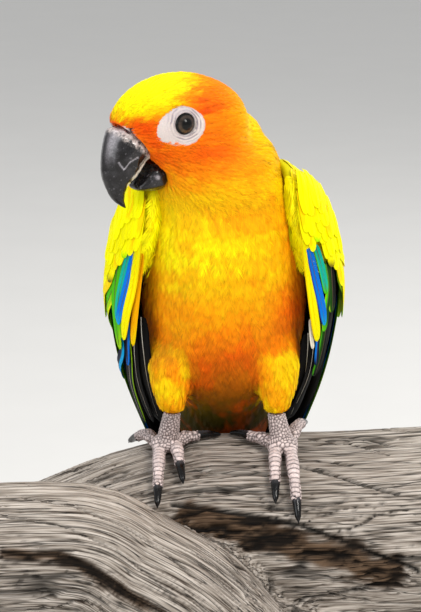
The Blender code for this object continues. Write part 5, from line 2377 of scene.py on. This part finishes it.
@dataclass
class Perch:
    """The weathered branch: a stem with a limb that leaves it at the front, split along the grain.

    Args:
        voxel: The size of its faces in millimetres.
        half: Half its length.
        stem_y: The stem's middle from front to back.
        radius: The stem's radius.
        feet: The feet's places along it.
        limb_start: What is added to places along the limb, so that its grain differs from the stem's.
        limb_from: From which such a place on a point belongs to the limb.
        limb: The limb's middle line and radius.
        split: The torn split along the limb's lower edge, in the photograph's pixels.
        hollow: The torn hollow's middle line, in pixels.
        cracks: Each crack's half width and depth in millimetres, and its line in pixels.
        crack_depth: How deep a crack of depth 1 is.
        fine_depth: How deep the fine cracks are.
        fibre_depth: How deep the fibres' furrows are.
        grain: The noise of cracks and fibres.
    """

    voxel: float = 0.75
    half: float = 63.0
    stem_y: float = 1.0
    radius: float = 27.0
    feet: tuple = (-16.0, 16.3)
    limb_start: float = 300.0
    limb_from: float = 200.0
    limb: tuple = ((-72, -37, -21.5, 20), (-40, -37, -21.3, 20), (-26.8, -37, -27.8, 20),
                   (-13.6, -37, -35.3, 20), (-2, -36, -45, 19), (8.4, -33, -53, 17), (26, -22, -57, 14),
                   (42, -8, -47, 10))
    split: tuple = ((0, 547), (26, 550), (52, 549), (86, 566), (112, 581), (142, 600), (165, 612))
    hollow: tuple = ((190, 512), (225, 524), (262, 536), (300, 548), (345, 560), (388, 571))
    cracks: tuple = (
        (0.55, 1.0, ((306, 467), (335, 474), (358, 482), (401, 493))),
        (0.35, 0.7, ((300, 461), (330, 461), (352, 465))),
        (0.4, 0.8, ((166, 471), (200, 470), (240, 472), (268, 474))),
        (0.35, 0.6, ((140, 494), (170, 491), (215, 491), (262, 497))),
        (1.0, 1.3, ((172, 503), (205, 507), (250, 514), (300, 524), (345, 541), (421, 572))),
        (1.0, 1.1, split),
        (0.5, 0.9, ((297, 602), (330, 597), (378, 588))),
        (0.4, 0.7, ((290, 545), (330, 556), (380, 570), (421, 584))),
        (0.35, 0.6, ((20, 492), (70, 500), (120, 520), (165, 548), (200, 580))),
        (0.35, 0.6, ((0, 510), (60, 520), (110, 542), (150, 572), (175, 600))),
        (0.3, 0.5, ((310, 440), (350, 444), (390, 455))),
    )
    crack_depth: float = 1.3
    fine_depth: float = 0.5
    fibre_depth: float = 0.54
    grain: Grain = field(default_factory=lambda: Grain(53))

    def build(self) -> list:
        """Builds the branch.

        Returns:
            The pieces.
        """
        obj = copied("perch_wood", "perch")
        remeshed(obj, self.voxel, 6)
        points = coordinates(obj)
        lines = self.lines(points)
        out = normals(obj)
        cut = smooth(0.75, 0.95, np.abs(out[:, 0])) * (np.abs(points[:, 0]) > self.half - 1.5)
        stretched = lines * [0.035, 0.32, 0.32]
        warp = self.grain.rough(lines * [0.02, 0.08, 0.08] + 5, 2)[:, None] * [0.0, 2.5, 2.5]
        wide = np.abs(self.grain.at(stretched + warp) - 0.5)
        narrow = np.abs(self.grain.at(stretched * [1.3, 2.4, 2.4] + warp * 1.7 + 20) - 0.5)
        fibre = self.grain.rough(lines * [0.06, 0.9, 0.9] + warp, 3)
        patch = self.grain.rough(lines * [0.03, 0.07, 0.07] + 50, 2)
        deep = smooth(0.035, 0.0, wide) * smooth(0.42, 0.6, patch)
        fine = smooth(0.05, 0.0, narrow) * smooth(0.35, 0.5, patch)
        near = self.under_feet(points)
        seen, facing = seen_at(points), out @ [0.0, -math.cos(ELEVATION), math.sin(ELEVATION)] > 0.05
        for wide_line, depth, path in self.cracks:
            off = self.off_path(seen, path)
            deep = np.maximum(deep, smooth(wide_line, 0.25 * wide_line, off) * facing * depth)
        rip = self.grain.rough(lines * [0.12, 0.5, 0.5] + 80, 3)
        torn = smooth(1.5, -1.0, self.off_path(seen, self.hollow) - 4.4 + 9 * (rip - 0.5))
        torn = torn * (lines[:, 0] < self.limb_from)
        split = smooth(1.0, -0.8, self.off_path(seen, self.split) - 1.3 + 5 * (rip - 0.5))
        torn = np.maximum(torn, split) * facing
        deep = np.maximum(deep, torn * smooth(0.52, 0.36, rip) * 1.15)
        sink = self.crack_depth * deep + self.fine_depth * fine + self.fibre_depth * (0.62 - fibre)
        sink = np.where(sink > 0, sink, sink * (1 - near)) * (1 - cut)
        placed(obj, points - out * sink[:, None])
        far = np.linalg.norm(lines[:, 1:], axis=1)
        turn = np.arctan2(lines[:, 1], lines[:, 2])
        rings = np.stack([24 * np.cos(turn), far, 2 * np.sin(turn)], axis=-1)
        measured(obj, lines * (1 - cut[:, None]) + rings * cut[:, None], "grain")
        measured(obj, torn, "torn")
        # Painted shade: cracks, fine cracks and the torn split and hollow are painted darker through the open
        # share; the torn wood's brown is its own colour; the cut ends are darker too.
        light = np.clip(1 - 0.8 * deep - 0.5 * fine, 0.08, 1)
        measured(obj, light * (1 - 0.35 * cut) * (1 - 0.36 * torn), "open")
        return [dressed(obj, BRANCH, "weathered_wood", "perch")]

    @staticmethod
    def off_path(seen: Points, path: Sequence) -> Points:
        """The distance in millimetres of places in view from a line through the photograph's pixels.

        Args:
            seen: Places in view, in pixels.
            path: The line's pixels.

        Returns:
            A distance for each place.
        """
        best = np.full(len(seen), np.inf)
        path = np.array(path, float)
        for a, b in zip(path[:-1], path[1:]):
            share = np.clip((seen - a) @ (b - a) / np.dot(b - a, b - a), 0, 1)
            best = np.minimum(best, np.linalg.norm(seen - a - share[:, None] * (b - a), axis=1))
        return best * PIXEL

    def under_feet(self, points: Points) -> Points:
        """How near points are to the feet, from 0 to 1."""
        off = np.minimum(np.abs(points[:, 0] - self.feet[1]), np.abs(points[:, 0] - self.feet[0]))
        return smooth(9.0, 6.0, off) * smooth(-14, -8, points[:, 2])

    def lines(self, points: Points) -> Points:
        """Each point's place along and round the stem or the limb, whichever it belongs to.

        Args:
            points: Points in millimetres in the bird's frame.

        Returns:
            A place for each point.
        """
        x = points[:, 0]
        stem = np.stack([x, points[:, 1] - self.stem_y, points[:, 2] + self.radius + log_drop(x)], axis=-1)
        rows = curve_rows(self.limb, np.linspace(0, len(self.limb) - 1, 120))
        length = np.concatenate([[0], np.cumsum(np.linalg.norm(np.diff(rows[:, :3], axis=0), axis=1))])
        way = unit(np.gradient(rows[:, :3], axis=0))
        level = unit(np.cross(way, [0.0, 1.0, 0.0]))
        other = np.cross(way, level)
        near = np.argmin(((points[:, None, :] - rows[None, :, :3]) ** 2).sum(-1), axis=1)
        off = points - rows[near, :3]
        along = length[near] + np.sum(off * way[near], axis=1) + self.limb_start
        limb = np.stack([along, np.sum(off * level[near], axis=1), np.sum(off * other[near], axis=1)], -1)
        from_limb = np.linalg.norm(off, axis=1) / rows[near, 3]
        from_stem = np.linalg.norm(stem[:, 1:], axis=1) / self.radius
        return np.where((from_limb < from_stem)[:, None], limb, stem)


@dataclass
class DisplayStand:
    """The flat wooden base with its rounded edge, and the two steel rods that carry the branch.

    Args:
        size: The base's width, depth and height.
        corner: Its corners' radius.
        edge: Its top edge's radius.
        collar: The radius and height of the collar at a rod's foot.
        ease: The height over which a collar narrows to its rod.
        rods: The rods' places from side to side.
        rod_y: Their place from front to back.
        rod_radius: Their radius.
        crease: The angle in degrees from which an edge stays sharp.
    """

    size: tuple = (150.0, 130.0, 12.0)
    corner: float = 14.0
    edge: float = 2.0
    collar: tuple = (5.2, 1.6)
    ease: float = 1.2
    rods: tuple = (-36.0, 36.0)
    rod_y: float = 4.0
    rod_radius: float = 3.0
    crease: float = 35.0

    def build(self) -> list:
        """Dresses the base and the rods."""
        return [self.base(), *(self.rod(x) for x in self.rods)]

    def base(self) -> bpy.types.Object:
        """The base: a block with rounded corners and a bevelled top edge.

        Returns:
            The piece.
        """
        deselected()
        bpy.ops.mesh.primitive_cube_add(size=1.0)
        obj = bpy.context.active_object
        obj.name = obj.data.name = "stand_base_wood"
        wide, deep, high = (side * MM for side in self.size)
        obj.data.transform(Matrix.Diagonal((wide, deep, high, 1.0)))
        obj.data.transform(Matrix.Translation((0.0, 0.0, high / 2)))
        bpy.ops.object.mode_set(mode="EDIT")
        bpy.ops.mesh.select_all(action="DESELECT")
        bpy.ops.mesh.select_mode(type="EDGE")
        build = bmesh.from_edit_mesh(obj.data)
        for rim in build.edges:
            rim.select_set(abs(rim.verts[0].co.z - rim.verts[1].co.z) > high / 2)
        bmesh.update_edit_mesh(obj.data)
        bpy.ops.mesh.bevel(offset=self.corner * MM, segments=12, affect="EDGES")
        build = bmesh.from_edit_mesh(obj.data)
        for rim in build.edges:
            rim.select_set(all(v.co.z > high * 0.99 for v in rim.verts) and len(rim.link_faces) == 2
                           and any(abs(f.normal.z) < 0.5 for f in rim.link_faces))
        bmesh.update_edit_mesh(obj.data)
        bpy.ops.mesh.bevel(offset=self.edge * MM, segments=5, affect="EDGES")
        bpy.ops.object.mode_set(mode="OBJECT")
        active(obj)
        bpy.ops.object.shade_smooth_by_angle(angle=math.radians(self.crease))
        points = coordinates(obj) + [0, 0, PERCH_TOP]
        measured(obj, points, "grain")
        measured(obj, np.ones(len(points)), "open")
        measured(obj, np.zeros(len(points)), "torn")
        return dressed(obj, BASE_WOOD, "base_wood", "stand_base")

    def rod(self, x: float) -> bpy.types.Object:
        """One rod with a turned collar where it enters the base.

        Args:
            x: The rod's place from side to side.

        Returns:
            The piece.
        """
        node = "stand_rod_right" if x < 0 else "stand_rod_left"
        low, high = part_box(node)
        deselected()
        bpy.ops.mesh.primitive_cylinder_add(
            vertices=48, radius=self.rod_radius * MM, depth=float(high[2] - low[2]),
            location=(x * MM, self.rod_y * MM, float(high[2] + low[2]) / 2), end_fill_type="NGON",
        )
        obj = bpy.context.active_object
        obj.name = obj.data.name = f"{node}_steel"
        bpy.ops.object.transform_apply(location=True)
        bpy.ops.object.mode_set(mode="EDIT")
        bpy.ops.mesh.select_all(action="SELECT")
        level = (self.size[2] + self.collar[1]) * MM
        bpy.ops.mesh.bisect(plane_co=(0, 0, level), plane_no=(0, 0, 1))
        bpy.ops.mesh.select_all(action="SELECT")
        bpy.ops.mesh.bisect(plane_co=(0, 0, level + self.ease * MM), plane_no=(0, 0, 1))
        bpy.ops.object.mode_set(mode="OBJECT")
        points = coordinates(obj)
        height = points[:, 2] + PERCH_TOP
        share = smooth(level / MM + 1.0, level / MM - 0.1, height)
        flat = points[:, :2] - [x, self.rod_y]
        wide = 1 + share * (self.collar[0] / self.rod_radius - 1)
        points[:, :2] = [x, self.rod_y] + flat * wide[:, None]
        placed(obj, points)
        active(obj)
        bpy.ops.object.shade_smooth_by_angle(angle=math.radians(self.crease))
        return dressed(obj, ROD_STEEL, "rod_steel", node)


# Studio


@dataclass(frozen=True)
class Lamp:
    """A soft square lamp: where it hangs, its side in metres, its power in watts and its colour."""

    name: str
    place: tuple
    size: float
    power: float
    tone: tuple = (1.0, 1.0, 1.0)


@dataclass
class Studio:
    """The camera, the pale floor and the soft lamps.

    Args:
        aim: Where the camera looks, in the bird's frame.
        sensor: The camera's sensor in millimetres.
        lamps: The lamps.
        floor_half: Half the floor's side in metres.
        surround: The surroundings' colour.
        surround_light: Their strength.
    """

    aim: tuple = (-3.78, 0.0, 40.4)
    sensor: float = 36.0
    lamps: tuple = (
        Lamp("key", (0.6, -0.95, 1.15), 0.5, 14.5, (1.0, 0.97, 0.92)),
        Lamp("fill", (-0.95, -0.75, 0.55), 0.8, 5.6, (0.93, 0.97, 1.0)),
        Lamp("top", (-0.1, 0.2, 1.3), 0.7, 6.0),
        Lamp("rim", (0.7, 0.8, 0.6), 0.5, 3.6),
    )
    floor_half: float = 12.0
    surround: tuple = (0.9, 0.92, 0.95, 1.0)
    surround_light: float = 0.66

    def build(self) -> None:
        """Makes the camera, the floor and the lamps."""
        aim = Vector(world(np.array(self.aim)))
        camera = bpy.data.cameras.new("camera")
        camera.sensor_width = self.sensor
        camera.lens = self.sensor * DISTANCE / (PHOTO_HEIGHT * PIXEL * MM)
        eye = linked("camera", camera)
        back = Vector((0.0, -math.cos(ELEVATION), math.sin(ELEVATION)))
        eye.location = aim + back * DISTANCE
        eye.rotation_euler = back.to_track_quat("Z", "Y").to_euler()
        bpy.context.scene.camera = eye
        for lamp in self.lamps:
            light = bpy.data.lights.new(lamp.name, "AREA")
            light.size, light.energy, light.color = lamp.size, lamp.power, lamp.tone
            obj = linked(lamp.name, light)
            obj.location = lamp.place
            obj.rotation_euler = (Vector(lamp.place) - aim).to_track_quat("Z", "Y").to_euler()
        half = self.floor_half
        mesh = bpy.data.meshes.new("floor")
        mesh.from_pydata([(-half, -half, 0), (half, -half, 0), (half, half, 0), (-half, half, 0)], [],
                         [(0, 1, 2, 3)])
        mesh.materials.append(FLOOR.material())
        floor = linked("floor", mesh)
        surround = bpy.data.worlds.new("surround")
        surround.use_nodes = True
        glow = surround.node_tree.nodes["Background"]
        glow.inputs["Color"].default_value = self.surround
        glow.inputs["Strength"].default_value = self.surround_light
        bpy.context.scene.world = surround
        bpy.context.scene.view_settings.view_transform = "Standard"


def main() -> None:
    """Builds the whole model."""
    logging.basicConfig(level=logging.INFO, format="%(message)s")
    Studio().build()
    body = Body(Markings())
    pieces = body.build()
    head = Ground(pieces[0])
    parts = [*(Eye(side, head) for side in (1, -1)), Bill(), *(Wing(side) for side in (1, -1)), Tail(),
             *(Foot(side) for side in (1, -1)), Claws(), Perch(), DisplayStand()]
    for part in parts:
        pieces.extend(part.build())
    total = 0
    for piece in pieces:
        count = sum(len(face.vertices) - 2 for face in piece.data.polygons)
        total += count
        LOG.info("%s: %d triangles", piece.name, count)
    LOG.info("all: %d triangles", total)


if __name__ == "__main__":
    main()
